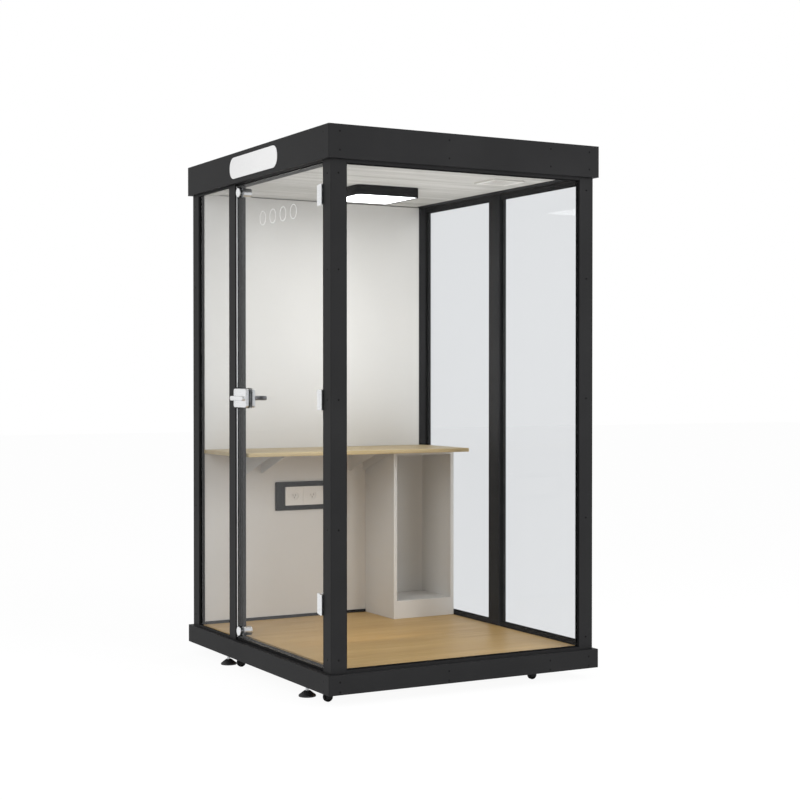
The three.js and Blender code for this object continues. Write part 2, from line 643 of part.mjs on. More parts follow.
function buildGlazing(pod) {
  const frontZ = [PLINTH_TOP + FIT, FASCIA_BOTTOM - FIT];
  const sidelight = box([-POST_X - BITE, MULLION_LEFT + BITE], [GLASS_FRONT, GLASS_BACK], frontZ);
  addPiece(pod, 'sidelight_glass', sidelight, CLEAR_GLASS);
  const rightX = [FRAME_X - REVEAL - GLASS, FRAME_X - REVEAL];
  const rightZ = [PLINTH_TOP + RIGHT_UPSTAND - RAIL_BITE, FASCIA_BOTTOM - RIGHT_DOWNSTAND + RAIL_BITE];
  addPiece(pod, 'right_glass', box(rightX, [-POST_Y - BITE, POST_Y + BITE], rightZ), CLEAR_GLASS);
  const rearY = [FRAME_Y - REAR_REVEAL - GLASS, FRAME_Y - REAR_REVEAL];
  const rearZ = [PLINTH_TOP + REAR_UPSTAND - RAIL_BITE, FASCIA_BOTTOM - REAR_DOWNSTAND + RAIL_BITE];
  const rearX = [REAR_MULLION / 2 - BITE, POST_X + BITE];
  addPiece(pod, 'rear_glass_right', box(rearX, rearY, rearZ), CLEAR_GLASS);
  addPiece(pod, 'rear_glass_left', box([-rearX[1], -rearX[0]], rearY, rearZ), CLEAR_GLASS);
}

// Desk wall: an outer acoustic panel between the posts and a pale lining inside
function buildDeskWall(pod) {
  const wallY = [-POST_Y + FIT, POST_Y - FIT];
  const wallZ = [PLINTH_TOP + FIT, FASCIA_BOTTOM - FIT];
  addPiece(pod, 'acoustic_wall', box([-FRAME_X, WALL_INNER], wallY, wallZ), FRAME_PAINT);
  const liningX = [WALL_INNER + FIT, LINING_INNER];
  const liningY = [LEG + FIT - FRAME_Y, POST_Y - FIT];
  const lining = box(liningX, liningY, [FLOOR_TOP + FIT, FASCIA_BOTTOM - FIT]);
  addPiece(pod, 'wall_lining', lining, WHITE_BOARD);
}

// Fascia: a folded channel on each side with a ledge for the roof
function fasciaSection(flange) {
  const [low, high] = [FASCIA_BOTTOM, HEIGHT];
  const ledge = HEIGHT - ROOF - FIT;
  return [
    [0, low], [flange, low], [flange, low + SHEET], [SHEET, low + SHEET], [SHEET, ledge - SHEET],
    [ROOF_LEDGE, ledge - SHEET], [ROOF_LEDGE, ledge], [SHEET, ledge], [SHEET, high], [0, high],
  ];
}

function fasciaWithDownstand(side, reveal, downstand) {
  const rail = mitredRail(fasciaSection(side.flange), side);
  const stand = glazingRail(side, reveal, FASCIA_BOTTOM + OVERLAP, FASCIA_BOTTOM - downstand);
  return side === SIDES.rear ? cut(join(rail, stand), mullionRoom(FASCIA_BOTTOM)) : join(rail, stand);
}

// Parallel slots cut through a panel over the fan
function ventSlots(length, z) {
  const slots = [];
  for (let i = 0; i < SLOT_COUNT; i += 1) {
    const y = FAN_Y + (i - (SLOT_COUNT - 1) / 2) * GRILLE_PITCH;
    slots.push(box(around(FAN_X, length), around(y, GRILLE_SLOT), z));
  }
  return slots;
}

function buildRoof(pod) {
  addRails(pod, 'fascia', {
    front: mitredRail(fasciaSection(SIDES.front.flange), SIDES.front),
    right: fasciaWithDownstand(SIDES.right, REVEAL, RIGHT_DOWNSTAND),
    rear: fasciaWithDownstand(SIDES.rear, REAR_REVEAL, REAR_DOWNSTAND),
    left: mitredRail(fasciaSection(SIDES.left.flange), SIDES.left),
  });
  const roofX = HALF_WIDTH - SHEET - FIT;
  const roofY = HALF_DEPTH - SHEET - FIT;
  const roof = box([-roofX, roofX], [-roofY, roofY], [HEIGHT - ROOF, HEIGHT]);
  const exhaust = ventSlots(EXHAUST_SLOT_LENGTH, [HEIGHT - ROOF - OVERLAP, HEIGHT + OVERLAP]);
  addPiece(pod, 'roof_panel', cut(roof, ...exhaust), FRAME_PAINT);
  const ceilingX = HALF_WIDTH - SHEET - CEILING_GAP;
  const ceilingY = HALF_DEPTH - SHEET - CEILING_GAP;
  const ceiling = box([-ceilingX, ceilingX], [-ceilingY, ceilingY], [CEILING_UNDER, CEILING_TOP]);
  const duct = rod('z', FAN_BORE, [CEILING_UNDER - OVERLAP, CEILING_TOP + OVERLAP], [FAN_X, FAN_Y], ROUND);
  addPiece(pod, 'ceiling_panel', cut(ceiling, duct), CEILING_WOOD);
}

// Surface lamp: a square tray with round corners, open below, and its diffuser
function buildLamp(pod) {
  const top = CEILING_UNDER - FIT;
  const bottom = top - LAMP_HEIGHT;
  const tray = prism(roundedRectangle(LAMP_SIDE, LAMP_SIDE, LAMP_CORNER), LAMP_HEIGHT);
  const inside = LAMP_SIDE - 2 * LAMP_WALL;
  const hollow = prism(roundedRectangle(inside, inside, LAMP_CORNER - LAMP_WALL), LAMP_HEIGHT);
  const housing = cut(tray.translate(0, 0, bottom), hollow.translate(0, 0, bottom - LAMP_TOP));
  addPiece(pod, 'lamp_housing', housing.translate(LAMP_X, LAMP_Y, 0), BLACK_PLASTIC);
  const pane = inside - 2 * FIT;
  const diffuser = prism(roundedRectangle(pane, pane, LAMP_CORNER - LAMP_WALL), DIFFUSER);
  addPiece(pod, 'lamp_diffuser', diffuser.translate(LAMP_X, LAMP_Y, bottom + DIFFUSER_INSET), DIFFUSER_WHITE);
}

// Extract fan on top of the ceiling, with a slotted grille below it
function buildFan(pod) {
  const low = CEILING_TOP + FIT;
  const high = low + FAN_DEPTH;
  const centre = [FAN_X, FAN_Y];
  const body = box(around(FAN_X, FAN_SIDE), around(FAN_Y, FAN_SIDE), [low, high]);
  const shell = cut(body, rod('z', FAN_BORE, [low - OVERLAP, high + OVERLAP], centre, ROUND));
  const plateZ = [high - FAN_HUB_PLATE, high];
  const plate = rod('z', FAN_HUB, plateZ, centre, ROUND);
  const struts = [
    box(around(FAN_X, FAN_SIDE - FAN_STRUT), around(FAN_Y, FAN_STRUT), plateZ),
    box(around(FAN_X, FAN_STRUT), around(FAN_Y, FAN_SIDE - FAN_STRUT), plateZ),
  ];
  const rotorTop = plateZ[0] - FIT;
  const pin = rod('z', FAN_PIN, [rotorTop - ROTOR_HEIGHT + SHEET, plateZ[0] + OVERLAP], centre);
  addPiece(pod, 'fan_housing', join(shell, plate, ...struts, pin), BLACK_PLASTIC);
  addPiece(pod, 'fan_rotor', fanRotor(rotorTop), BLACK_PLASTIC);
  const grilleZ = [CEILING_UNDER - FIT - GRILLE, CEILING_UNDER - FIT];
  const frame = box(around(FAN_X, GRILLE_SIDE), around(FAN_Y, GRILLE_SIDE), grilleZ);
  const slots = ventSlots(GRILLE_SLOT_LENGTH, [grilleZ[0] - OVERLAP, grilleZ[1] + OVERLAP]);
  addPiece(pod, 'vent_grille', cut(frame, ...slots), WHITE_PLASTIC);
}

function fanRotor(top) {
  const low = top - ROTOR_HEIGHT;
  const hub = rod('z', FAN_HUB, [low, top], [0, 0], ROUND);
  const bore = rod('z', FAN_PIN + RUNNING, [low + SHEET - FIT, top + OVERLAP], [0, 0]);
  const root = FAN_HUB - 2 * OVERLAP;
  const blades = [];
  for (let i = 0; i < BLADE_COUNT; i += 1) {
    const blade = new THREE.BoxGeometry(BLADE_TIP - root, BLADE_CHORD, BLADE);
    blade.rotateX(THREE.MathUtils.degToRad(BLADE_PITCH));
    blade.translate((root + BLADE_TIP) / 2, 0, (low + top) / 2);
    blades.push(blade.rotateZ((i * 2 * Math.PI) / BLADE_COUNT));
  }
  return cut(join(hub, ...blades), bore).translate(FAN_X, FAN_Y, 0);
}

// Desk on two folded brackets and an open cabinet
function deskTop() {
  const [near, far] = DESK_ENDS;
  const slab = easedSlab(DESK_DEPTH, far - near, DESK_CORNER, DESK, DESK_BEVEL);
  return slab.translate(ROOM_FACE + DESK_DEPTH / 2, (near + far) / 2, DESK_UNDER);
}

function deskBracket(y) {
  const top = DESK_UNDER - FIT;
  const low = top - BRACKET_HEIGHT;
  const [wall, tip] = [ROOM_FACE, ROOM_FACE + BRACKET_REACH];
  const sides = around(y, BRACKET_WIDTH);
  const gusset = outline([
    [wall, low], [wall + BRACKET_NOSE, low], [tip, top - BRACKET_NOSE], [tip, top], [wall, top],
  ]);
  const gussets = [sides[0] + BRACKET_SHEET, sides[1]].map(
    (at) => prism(gusset, BRACKET_SHEET).rotateX(Math.PI / 2).translate(0, at, 0),
  );
  const plate = box([wall, wall + BRACKET_SHEET], sides, [low, top]);
  const flange = box([wall, tip], sides, [top - BRACKET_SHEET, top]);
  return join(plate, flange, ...gussets);
}

function openCabinet() {
  const x = [ROOM_FACE, ROOM_FACE + CABINET_DEPTH];
  const z = [FLOOR_TOP + FIT, DESK_UNDER - FIT];
  const insideY = [CABINET_Y[0] + BOARD, CABINET_Y[1] - BOARD];
  const niche = box([x[0] + BOARD, x[1] + OVERLAP], insideY, [FLOOR_TOP + NICHE_RISE, z[1] - BOARD]);
  const below = box([x[0] + BOARD, x[1] - BOARD], insideY, [z[0] - OVERLAP, FLOOR_TOP + NICHE_RISE - BOARD]);
  return cut(box(x, CABINET_Y, z), niche, below);
}

function buildDesk(pod) {
  addPiece(pod, 'desk_top', deskTop(), OAK_DESK);
  addPiece(pod, 'desk_bracket_left', deskBracket(BRACKET_LEFT_Y), WHITE_BOARD);
  addPiece(pod, 'desk_bracket_right', deskBracket(BRACKET_RIGHT_Y), WHITE_BOARD);
  addPiece(pod, 'cabinet', openCabinet(), WHITE_BOARD);
}

// Socket panel on the desk wall: a black plate, a pale insert of three modules, one with a rocker switch
function buildSocketPanel(pod) {
  const z = FLOOR_TOP + PANEL_RISE;
  const face = ROOM_FACE + PANEL;
  const plate = prism(roundedRectangle(PANEL_WIDTH, PANEL_HEIGHT, PANEL_CORNER), PANEL);
  addPiece(pod, 'socket_plate', standUp(plate, ROOM_FACE, PANEL_Y, z), BLACK_PLASTIC);
  const insertShape = roundedRectangle(MODULE_COUNT * MODULE_PITCH, MODULE_HEIGHT, INSERT_CORNER);
  const insert = standUp(prism(insertShape, INSERT), face + FIT, PANEL_Y, z);
  const insertFront = face + FIT + INSERT;
  const into = (depth) => [insertFront - depth, insertFront + OVERLAP];
  const switchY = PANEL_Y + MODULE_PITCH;
  const wellY = [PANEL_Y - MODULE_PITCH, PANEL_Y];
  const wells = wellY.map((y) => rod('x', SOCKET_WELL_RADIUS, into(SOCKET_WELL), [y, z], ROUND));
  const grooveY = [PANEL_Y - MODULE_PITCH / 2, PANEL_Y + MODULE_PITCH / 2];
  const grooveZ = around(z, MODULE_HEIGHT + OVERLAP);
  const grooves = grooveY.map((y) => box(into(GROOVE), around(y, GROOVE), grooveZ));
  const pocketSide = ROCKER_SIDE + 2 * ROCKER_GAP;
  const pocket = box(into(ROCKER_POCKET), around(switchY, pocketSide), around(z, pocketSide));
  addPiece(pod, 'socket_insert', cut(insert, ...wells, ...grooves, pocket), WHITE_PLASTIC);
  const rocker = new THREE.BoxGeometry(ROCKER, ROCKER_SIDE, ROCKER_SIDE);
  const mesh = addPiece(pod, 'light_switch', rocker, WHITE_PLASTIC);
  mesh.position.set(insertFront - ROCKER_PIVOT, switchY, z);
  mesh.rotation.y = THREE.MathUtils.degToRad(-ROCKER_TILT);
}

// Turns a prism drawn in XY so that it runs along +X, with its section's X along Y and its section's Y up
function standUp(plate, x, y, z) {
  return plate.rotateX(Math.PI / 2).rotateZ(Math.PI / 2).translate(x, y, z);
}

// Door hinges: the door leaf clamps the glass and carries the pin, the frame leaf sits on the post
function hingeHeights() {
  const [low, high] = [DOOR_BOTTOM + HINGE_FROM_BOTTOM, DOOR_TOP - HINGE_FROM_TOP];
  return { top: high, middle: (low + high) / 2, bottom: low };
}

function hingePlateX() {
  const right = DOOR_RIGHT - HINGE_PLATE_BACK;
  return [right - HINGE_PLATE_WIDTH, right];
}

function hingeBosses(z, y, radius) {
  const x = (hingePlateX()[0] + hingePlateX()[1]) / 2;
  return [-BOSS_SPREAD, BOSS_SPREAD].map((rise) => rod('y', radius, y, [x, z + rise]));
}

function hingeDoorLeaf(z) {
  const half = HINGE_HEIGHT / 2;
  const plateX = hingePlateX();
  const frontY = [GLASS_FRONT - FIT - HINGE_PLATE, GLASS_FRONT - FIT];
  const backY = [GLASS_BACK + FIT, GLASS_BACK + FIT + HINGE_PLATE];
  const front = box(plateX, frontY, [z - half, z + half]);
  const back = box(plateX, backY, [z - half, z + half]);
  const bosses = hingeBosses(z, [frontY[1] - OVERLAP, backY[0] + OVERLAP], BOSS_RADIUS);
  const ends = [[z - half, z - half + KNUCKLE_END], [z + half - KNUCKLE_END, z + half]];
  const webs = ends.map((range) => box([plateX[1] - OVERLAP, PIN_X], [PIN_Y, frontY[0] + OVERLAP], range));
  const lips = ends.map((range) => box([plateX[1] - HINGE_PLATE, plateX[1]], [PIN_Y, frontY[1]], range));
  const knuckles = ends.map((range) => rod('z', KNUCKLE_RADIUS, range, [PIN_X, PIN_Y]));
  const pin = rod('z', PIN_RADIUS, [z - half + OVERLAP, z + half - OVERLAP], [PIN_X, PIN_Y]);
  return join(front, back, ...bosses, ...lips, ...webs, ...knuckles, pin);
}

function hingeFrameLeaf(z) {
  const half = HINGE_HEIGHT / 2 - KNUCKLE_END - KNUCKLE_GAP;
  const leafX = [POST_X - FIT - LEAF, POST_X - FIT];
  const leafY = [PIN_Y + PIN_OUT + LEAF, PIN_Y + PIN_OUT + LEAF + LEAF_DEPTH];
  const leaf = box(leafX, leafY, around(z, HINGE_HEIGHT));
  const link = box(leafX, [PIN_Y, leafY[0] + OVERLAP], [z - half, z + half]);
  const knuckle = rod('z', KNUCKLE_RADIUS, [z - half, z + half], [PIN_X, PIN_Y]);
  const bore = rod('z', PIN_RADIUS + RUNNING, [z - half - OVERLAP, z + half + OVERLAP], [PIN_X, PIN_Y]);
  return cut(join(leaf, link, knuckle), bore);
}

// Door glass with the lock notch, the hinge holes and the catch holes
function doorGlass() {
  const pane = box([DOOR_LEFT, DOOR_RIGHT], [GLASS_FRONT, GLASS_BACK], [DOOR_BOTTOM, DOOR_TOP]);
  const through = [GLASS_FRONT - OVERLAP, GLASS_BACK + OVERLAP];
  const notchX = [DOOR_LEFT - OVERLAP, DOOR_LEFT + NOTCH_LENGTH + LOCK_NOTCH_GAP];
  const notch = box(notchX, through, around(LOCK_Z, LOCK_NOTCH));
  const holes = Object.values(hingeHeights()).flatMap((z) => hingeBosses(z, through, BOSS_RADIUS + RUNNING));
  const catchHoles = catchHeights().map(([, z]) => rod('y', ARMATURE_STEM + RUNNING, through, [CATCH_X, z]));
  return cut(pane, notch, ...holes, ...catchHoles);
}

function catchHeights() {
  return [['top', DOOR_TOP - CATCH_EDGE], ['bottom', DOOR_BOTTOM + CATCH_EDGE]];
}

// Armature: a steel disc bolted through the glass; the catch on the frame holds its back plate
function armature(z) {
  const frontY = [GLASS_FRONT - FIT - ARMATURE, GLASS_FRONT - FIT];
  const backY = [GLASS_BACK + FIT, GLASS_BACK + FIT + ARMATURE_BACK];
  const ease = 0.2 * ARMATURE;
  const disc = revolve([
    [0, 0], [ARMATURE_RADIUS, 0], [ARMATURE_RADIUS, ARMATURE - ease],
    [ARMATURE_RADIUS - ease, ARMATURE], [0, ARMATURE],
  ]).rotateX(Math.PI / 2).translate(CATCH_X, frontY[1], z);
  const stem = rod('y', ARMATURE_STEM, [frontY[1] - OVERLAP, backY[0] + OVERLAP], [CATCH_X, z]);
  const back = rod('y', ARMATURE_BACK_RADIUS, backY, [CATCH_X, z], ROUND);
  return join(disc, stem, back);
}

function magnetCatch(z) {
  const from = GLASS_BACK + ARMATURE_BACK + 2 * FIT;
  const barrel = rod('y', CATCH_RADIUS, [from, from + CATCH_LENGTH], [CATCH_X, z], ROUND);
  const armY = [-FRAME_Y + MULLION_DEPTH - CATCH_ARM, -FRAME_Y + MULLION_DEPTH];
  const arm = box([MULLION_RIGHT + FIT, CATCH_X], armY, around(z, CATCH_ARM));
  return join(barrel, arm);
}

// Lock case: two covers joined through the notch in the glass, with the bolt channel and the spindle hole
function lockCase() {
  const middle = LOCK_LEFT + LOCK_WIDTH / 2;
  const cover = (thick, y) => {
    const slab = easedSlab(LOCK_WIDTH, LOCK_HEIGHT, LOCK_CORNER, thick, LOCK_BEVEL);
    return slab.rotateX(Math.PI / 2).translate(middle, y, LOCK_Z);
  };
  const front = cover(LOCK_OUT - FIT, GLASS_FRONT - FIT);
  const back = cover(LOCK_IN - FIT, LOCK_BACK);
  const coreX = [LOCK_LEFT, DOOR_LEFT + NOTCH_LENGTH];
  const coreY = [GLASS_FRONT - LOCK_BEVEL - OVERLAP, GLASS_BACK + LOCK_BEVEL + OVERLAP];
  const core = box(coreX, coreY, around(LOCK_Z, LOCK_NOTCH - 2 * LOCK_NOTCH_GAP));
  const channel = boltHole([LOCK_LEFT - OVERLAP, LOCK_LEFT - BOLT_NOSE + BOLT_LENGTH + BOLT_GAP]);
  const spindleY = [LOCK_FRONT - OVERLAP, LOCK_BACK + OVERLAP];
  const spindle = rod('y', SPINDLE_RADIUS + RUNNING, spindleY, [SPINDLE_X, LOCK_Z]);
  return cut(join(front, core, back), channel, spindle);
}

// Lever: an eased bar on a round neck; out is -1 outside and 1 inside
function leverBar(out, length, reach) {
  const face = out < 0 ? LOCK_FRONT - FIT : LOCK_BACK + FIT;
  const tip = face + out * (reach - FIT);
  const bar = easedSlab(length, LEVER_HEIGHT, LEVER_HEIGHT / 2, LEVER_THICK, LEVER_BEVEL);
  const barBack = out < 0 ? tip + LEVER_THICK : tip;
  bar.rotateX(Math.PI / 2).translate(SPINDLE_X + length / 2 - LEVER_HEIGHT / 2, barBack, LOCK_Z);
  const neckEnd = tip - (out * LEVER_THICK) / 2;
  const neck = rod('y', NECK_RADIUS, inOrder(face, neckEnd), [SPINDLE_X, LOCK_Z]);
  return join(bar, neck);
}

function buildLevers(door) {
  const spindleEnd = LOCK_BACK + FIT + SPINDLE_BITE;
  const spindle = rod('y', SPINDLE_RADIUS, [LOCK_FRONT - FIT - OVERLAP, spindleEnd], [SPINDLE_X, LOCK_Z]);
  addPiece(door, 'lever_handle', join(leverBar(-1, LEVER_LENGTH, LEVER_REACH), spindle), SILVER);
  const socketY = [LOCK_BACK - OVERLAP, spindleEnd + FIT];
  const socket = rod('y', SPINDLE_RADIUS + RUNNING, socketY, [SPINDLE_X, LOCK_Z]);
  addPiece(door, 'thumb_turn', cut(leverBar(1, TURN_LENGTH, TURN_REACH), socket), SILVER);
}

function buildDoor(pod) {
  const door = new THREE.Group();
  pod.add(door);
  addPiece(door, 'door_glass', doorGlass(), CLEAR_GLASS);
  for (const [name, z] of Object.entries(hingeHeights())) {
    addPiece(door, `hinge_${name}_door_leaf`, hingeDoorLeaf(z), SILVER);
    addPiece(pod, `hinge_${name}_frame_leaf`, hingeFrameLeaf(z), SILVER);
  }
  for (const [name, z] of catchHeights()) {
    addPiece(door, `armature_${name}`, armature(z), SILVER);
    addPiece(pod, `magnet_catch_${name}`, magnetCatch(z), SILVER);
  }
  addPiece(door, 'lock_case', lockCase(), SILVER);
  buildLevers(door);
  const boltX = [LOCK_LEFT - BOLT_NOSE, LOCK_LEFT - BOLT_NOSE + BOLT_LENGTH];
  const bolt = box(boltX, around(GLASS_MIDDLE, BOLT_THICK), around(LOCK_Z, BOLT_HEIGHT));
  addPiece(door, 'lock_bolt', bolt, SILVER);
  const keeperX = [MULLION_RIGHT + FIT, MULLION_RIGHT + FIT + KEEPER];
  const plate = box(keeperX, around(GLASS_MIDDLE, KEEPER_WIDTH), around(LOCK_Z, KEEPER_HEIGHT));
  const hole = boltHole([keeperX[0] - OVERLAP, keeperX[1] + OVERLAP]);
  addPiece(pod, 'bolt_keeper', cut(plate, hole), SILVER);
}

const pod = new THREE.Group();
buildBase(pod);
buildFrame(pod);
buildGlazing(pod);
buildDeskWall(pod);
buildRoof(pod);
buildLamp(pod);
buildFan(pod);
buildDesk(pod);
buildSocketPanel(pod);
buildDoor(pod);
pod.position.y = LEVER_OVERHANG / 2;

export default pod;
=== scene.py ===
import json
import math
from collections import namedtuple

import bmesh
import bpy
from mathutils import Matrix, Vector


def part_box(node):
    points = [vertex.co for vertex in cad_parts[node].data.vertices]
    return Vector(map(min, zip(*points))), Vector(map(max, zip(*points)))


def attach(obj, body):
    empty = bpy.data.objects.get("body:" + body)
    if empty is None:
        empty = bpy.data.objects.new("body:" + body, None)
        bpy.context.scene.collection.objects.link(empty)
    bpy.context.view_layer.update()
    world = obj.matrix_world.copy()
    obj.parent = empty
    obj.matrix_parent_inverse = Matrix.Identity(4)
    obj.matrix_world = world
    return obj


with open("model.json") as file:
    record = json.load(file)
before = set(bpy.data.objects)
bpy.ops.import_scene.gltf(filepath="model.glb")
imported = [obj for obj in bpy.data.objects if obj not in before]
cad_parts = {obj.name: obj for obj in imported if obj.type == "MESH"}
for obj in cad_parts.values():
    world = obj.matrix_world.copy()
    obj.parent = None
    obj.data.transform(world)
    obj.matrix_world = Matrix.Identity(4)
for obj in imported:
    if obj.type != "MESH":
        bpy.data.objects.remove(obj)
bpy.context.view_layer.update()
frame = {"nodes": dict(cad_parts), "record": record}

# Looks of the acoustic office pod. Finishes, camera and lamps are in metres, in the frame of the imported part.
# Trim is drawn in millimetres of the pod itself, and placed by the boxes of the CAD nodes.
NODES = frame["nodes"]
MM = 0.001


# Places in the pod
def pod_shift():
    """How far the pod's middle lies along +Y of the frame's: the lever reaches out in front."""
    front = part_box("post_front_left")[0].y
    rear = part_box("post_rear_left")[1].y
    return round((front + rear) / 2, 6)


SHIFT = pod_shift()
Box = namedtuple("Box", "left front bottom right rear top")


def box_of(node):
    """A node's box in millimetres of the pod; left is -X and front is -Y."""
    sides = []
    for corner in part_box(node):
        sides += [corner.x / MM, (corner.y - SHIFT) / MM, corner.z / MM]
    return Box(*[round(side, 2) for side in sides])


def spot(x, y, z):
    """A place given in millimetres of the pod, in metres of the frame."""
    return Vector((x * MM, y * MM + SHIFT, z * MM))


def middle(low, high):
    return (low + high) / 2


def between(low, high, gap):
    """The space between two faces, less a gap at each end."""
    return (low + gap, high - gap)


# Node helpers
def new_material(name):
    material = bpy.data.materials.new(name)
    material.use_nodes = True
    tree = material.node_tree
    return material, tree, tree.nodes["Principled BSDF"]


def add(tree, kind, **values):
    made = tree.nodes.new(kind)
    for key, value in values.items():
        made.inputs[key].default_value = value
    return made


def place_on_object(tree, scale=(1, 1, 1)):
    source = tree.nodes.new("ShaderNodeTexCoord")
    mapping = add(tree, "ShaderNodeMapping", Scale=scale)
    tree.links.new(source.outputs["Object"], mapping.inputs["Vector"])
    return mapping.outputs["Vector"]


def object_axes(tree):
    source = tree.nodes.new("ShaderNodeTexCoord")
    parts = tree.nodes.new("ShaderNodeSeparateXYZ")
    tree.links.new(source.outputs["Object"], parts.inputs[0])
    return parts.outputs


def drawn_out(along, slow, fast):
    """Texture scales for lines that run along one axis."""
    return tuple(slow if axis == along else fast for axis in "XYZ")


def noise(tree, vector, scale, detail, roughness=0.5, distortion=0.0):
    made = add(tree, "ShaderNodeTexNoise", Scale=scale, Detail=detail)
    made.inputs["Roughness"].default_value = roughness
    made.inputs["Distortion"].default_value = distortion
    tree.links.new(vector, made.inputs["Vector"])
    return made.outputs["Fac"]


def ramp(tree, factor, stops):
    made = tree.nodes.new("ShaderNodeValToRGB")
    elements = made.color_ramp.elements
    while len(elements) < len(stops):
        elements.new(0.5)
    for element, (position, color) in zip(elements, stops):
        element.position = position
        element.color = (*color, 1)
    tree.links.new(factor, made.inputs["Fac"])
    return made.outputs["Color"]


def span(tree, factor, low, high):
    """Spreads the middle values of a noise, 0.3 to 0.7, from low to high."""
    limits = {"From Min": 0.3, "From Max": 0.7, "To Min": low, "To Max": high}
    made = add(tree, "ShaderNodeMapRange", **limits)
    tree.links.new(factor, made.inputs["Value"])
    return made.outputs["Result"]


def bump(tree, shader, height, strength, distance):
    made = add(tree, "ShaderNodeBump", Strength=strength, Distance=distance)
    tree.links.new(height, made.inputs["Height"])
    tree.links.new(made.outputs["Normal"], shader.inputs["Normal"])


def multiply(tree, first, second, factor=1.0):
    made = tree.nodes.new("ShaderNodeMix")
    made.data_type = "RGBA"
    made.blend_type = "MULTIPLY"
    made.inputs["Factor"].default_value = factor
    tree.links.new(first, made.inputs["A"])
    tree.links.new(second, made.inputs["B"])
    return made.outputs["Result"]


def math_node(tree, operation, first, second=None):
    """A Math node; first is a socket, second a socket or a number."""
    made = tree.nodes.new("ShaderNodeMath")
    made.operation = operation
    tree.links.new(first, made.inputs[0])
    if isinstance(second, (int, float)):
        made.inputs[1].default_value = second
    elif second is not None:
        tree.links.new(second, made.inputs[1])
    return made.outputs[0]


def mix_shaders(tree, share, first, second, output):
    """The first shader where share is 0, the second where it is 1."""
    mix = tree.nodes.new("ShaderNodeMixShader")
    tree.links.new(share, mix.inputs["Fac"])
    tree.links.new(first.outputs[0], mix.inputs[1])
    tree.links.new(second.outputs[0], mix.inputs[2])
    tree.links.new(mix.outputs[0], output.inputs["Surface"])


# Materials
def speckled(name, dark, light, rough, grain=900, relief=0.15, cloud=3.0, sheen=0.5):
    """A fine-grained coat: slow cloudiness in the colour, a fine grain in roughness and relief."""
    material, tree, shader = new_material(name)
    vector = place_on_object(tree)
    slow = noise(tree, vector, cloud, detail=3)
    fine = noise(tree, vector, grain, detail=2)
    shade = ramp(tree, slow, [(0.3, dark), (0.7, light)])
    tint = ramp(tree, fine, [(0.25, (0.9, 0.9, 0.9)), (0.75, (1, 1, 1))])
    tree.links.new(multiply(tree, shade, tint), shader.inputs["Base Color"])
    tree.links.new(span(tree, fine, *rough), shader.inputs["Roughness"])
    shader.inputs["Specular IOR Level"].default_value = sheen
    bump(tree, shader, fine, relief, distance=0.0003)
    return material


def wood(name, dark, medium, light, rough=(0.38, 0.52), pore=0.80, across=14):
    """Grain drawn out along Y, with long cathedral streaks, pores and a slow change of tone."""
    material, tree, shader = new_material(name)
    long_lines = place_on_object(tree, drawn_out("Y", across / 20, across))
    fine_lines = place_on_object(tree, drawn_out("Y", 2.2, 90))
    streak = noise(tree, long_lines, 1.0, detail=6, roughness=0.6, distortion=1.4)
    pores = noise(tree, fine_lines, 1.6, detail=5, roughness=0.6, distortion=0.3)
    tone = ramp(tree, streak, [(0.25, dark), (0.5, medium), (0.75, light)])
    pore_tint = ramp(tree, pores, [(0.3, (1.02 * pore, pore, 0.96 * pore)), (0.55, (1, 1, 1))])
    tree.links.new(multiply(tree, tone, pore_tint, factor=0.8), shader.inputs["Base Color"])
    tree.links.new(span(tree, pores, rough[1], rough[0]), shader.inputs["Roughness"])
    bump(tree, shader, pores, strength=0.12, distance=0.0004)
    return material


def brushed(name, color):
    """Satin metal with fine brush lines along X."""
    material, tree, shader = new_material(name)
    lines = noise(tree, place_on_object(tree, drawn_out("X", 12, 600)), 1.0, detail=3)
    worn = tuple(0.93 * part for part in color)
    tree.links.new(ramp(tree, lines, [(0.3, worn), (0.7, color)]), shader.inputs["Base Color"])
    tree.links.new(span(tree, lines, low=0.24, high=0.36), shader.inputs["Roughness"])
    shader.inputs["Metallic"].default_value = 1.0
    bump(tree, shader, lines, strength=0.02, distance=0.0002)
    return material


MIRROR = 0.42          # strength of the mirror image in a pane
STEEPNESS = 5.0        # how quickly the mirror grows towards a flat angle
HEAD_ON = 0.012        # share of the mirror straight on


def clear_glass(name, tint):
    """A pane that lets light straight through and mirrors more at a flat angle."""
    material, tree, shader = new_material(name)
    tree.nodes.remove(shader)
    through = add(tree, "ShaderNodeBsdfTransparent", Color=(*tint, 1))
    mirror = add(tree, "ShaderNodeBsdfGlossy", Color=(MIRROR, MIRROR, MIRROR, 1), Roughness=0.02)
    facing = add(tree, "ShaderNodeLayerWeight", Blend=0.5)
    flat = math_node(tree, "POWER", facing.outputs["Facing"], STEEPNESS)
    share = math_node(tree, "ADD", flat, HEAD_ON)
    share.node.use_clamp = True
    mix_shaders(tree, share, through, mirror, tree.nodes["Material Output"])
    return material


PAD_TOP = 0.0245       # height at which a foot's pad ends and its stem starts
THREAD = 0.0009        # half the pitch of the stem's thread


def foot_finish(name):
    """A black rubber pad with a bright threaded stem above it."""
    material, tree, shader = new_material(name)
    height = object_axes(tree)["Z"]
    stem = math_node(tree, "GREATER_THAN", height, PAD_TOP)
    turns = math_node(tree, "PINGPONG", height, THREAD)
    grain = noise(tree, place_on_object(tree), 700, detail=2)
    color = ramp(tree, stem, [(0.4, (0.012, 0.012, 0.013)), (0.6, (0.62, 0.63, 0.64))])
    tree.links.new(color, shader.inputs["Base Color"])
    tree.links.new(stem, shader.inputs["Metallic"])
    tree.links.new(span(tree, grain, low=0.45, high=0.7), shader.inputs["Roughness"])
    bump(tree, shader, turns, strength=0.6, distance=0.001)
    return material


RIM = 0.02             # width of the dimmer rim of the lamp's diffuser
GLOW = 7.0             # strength of the light inside that rim


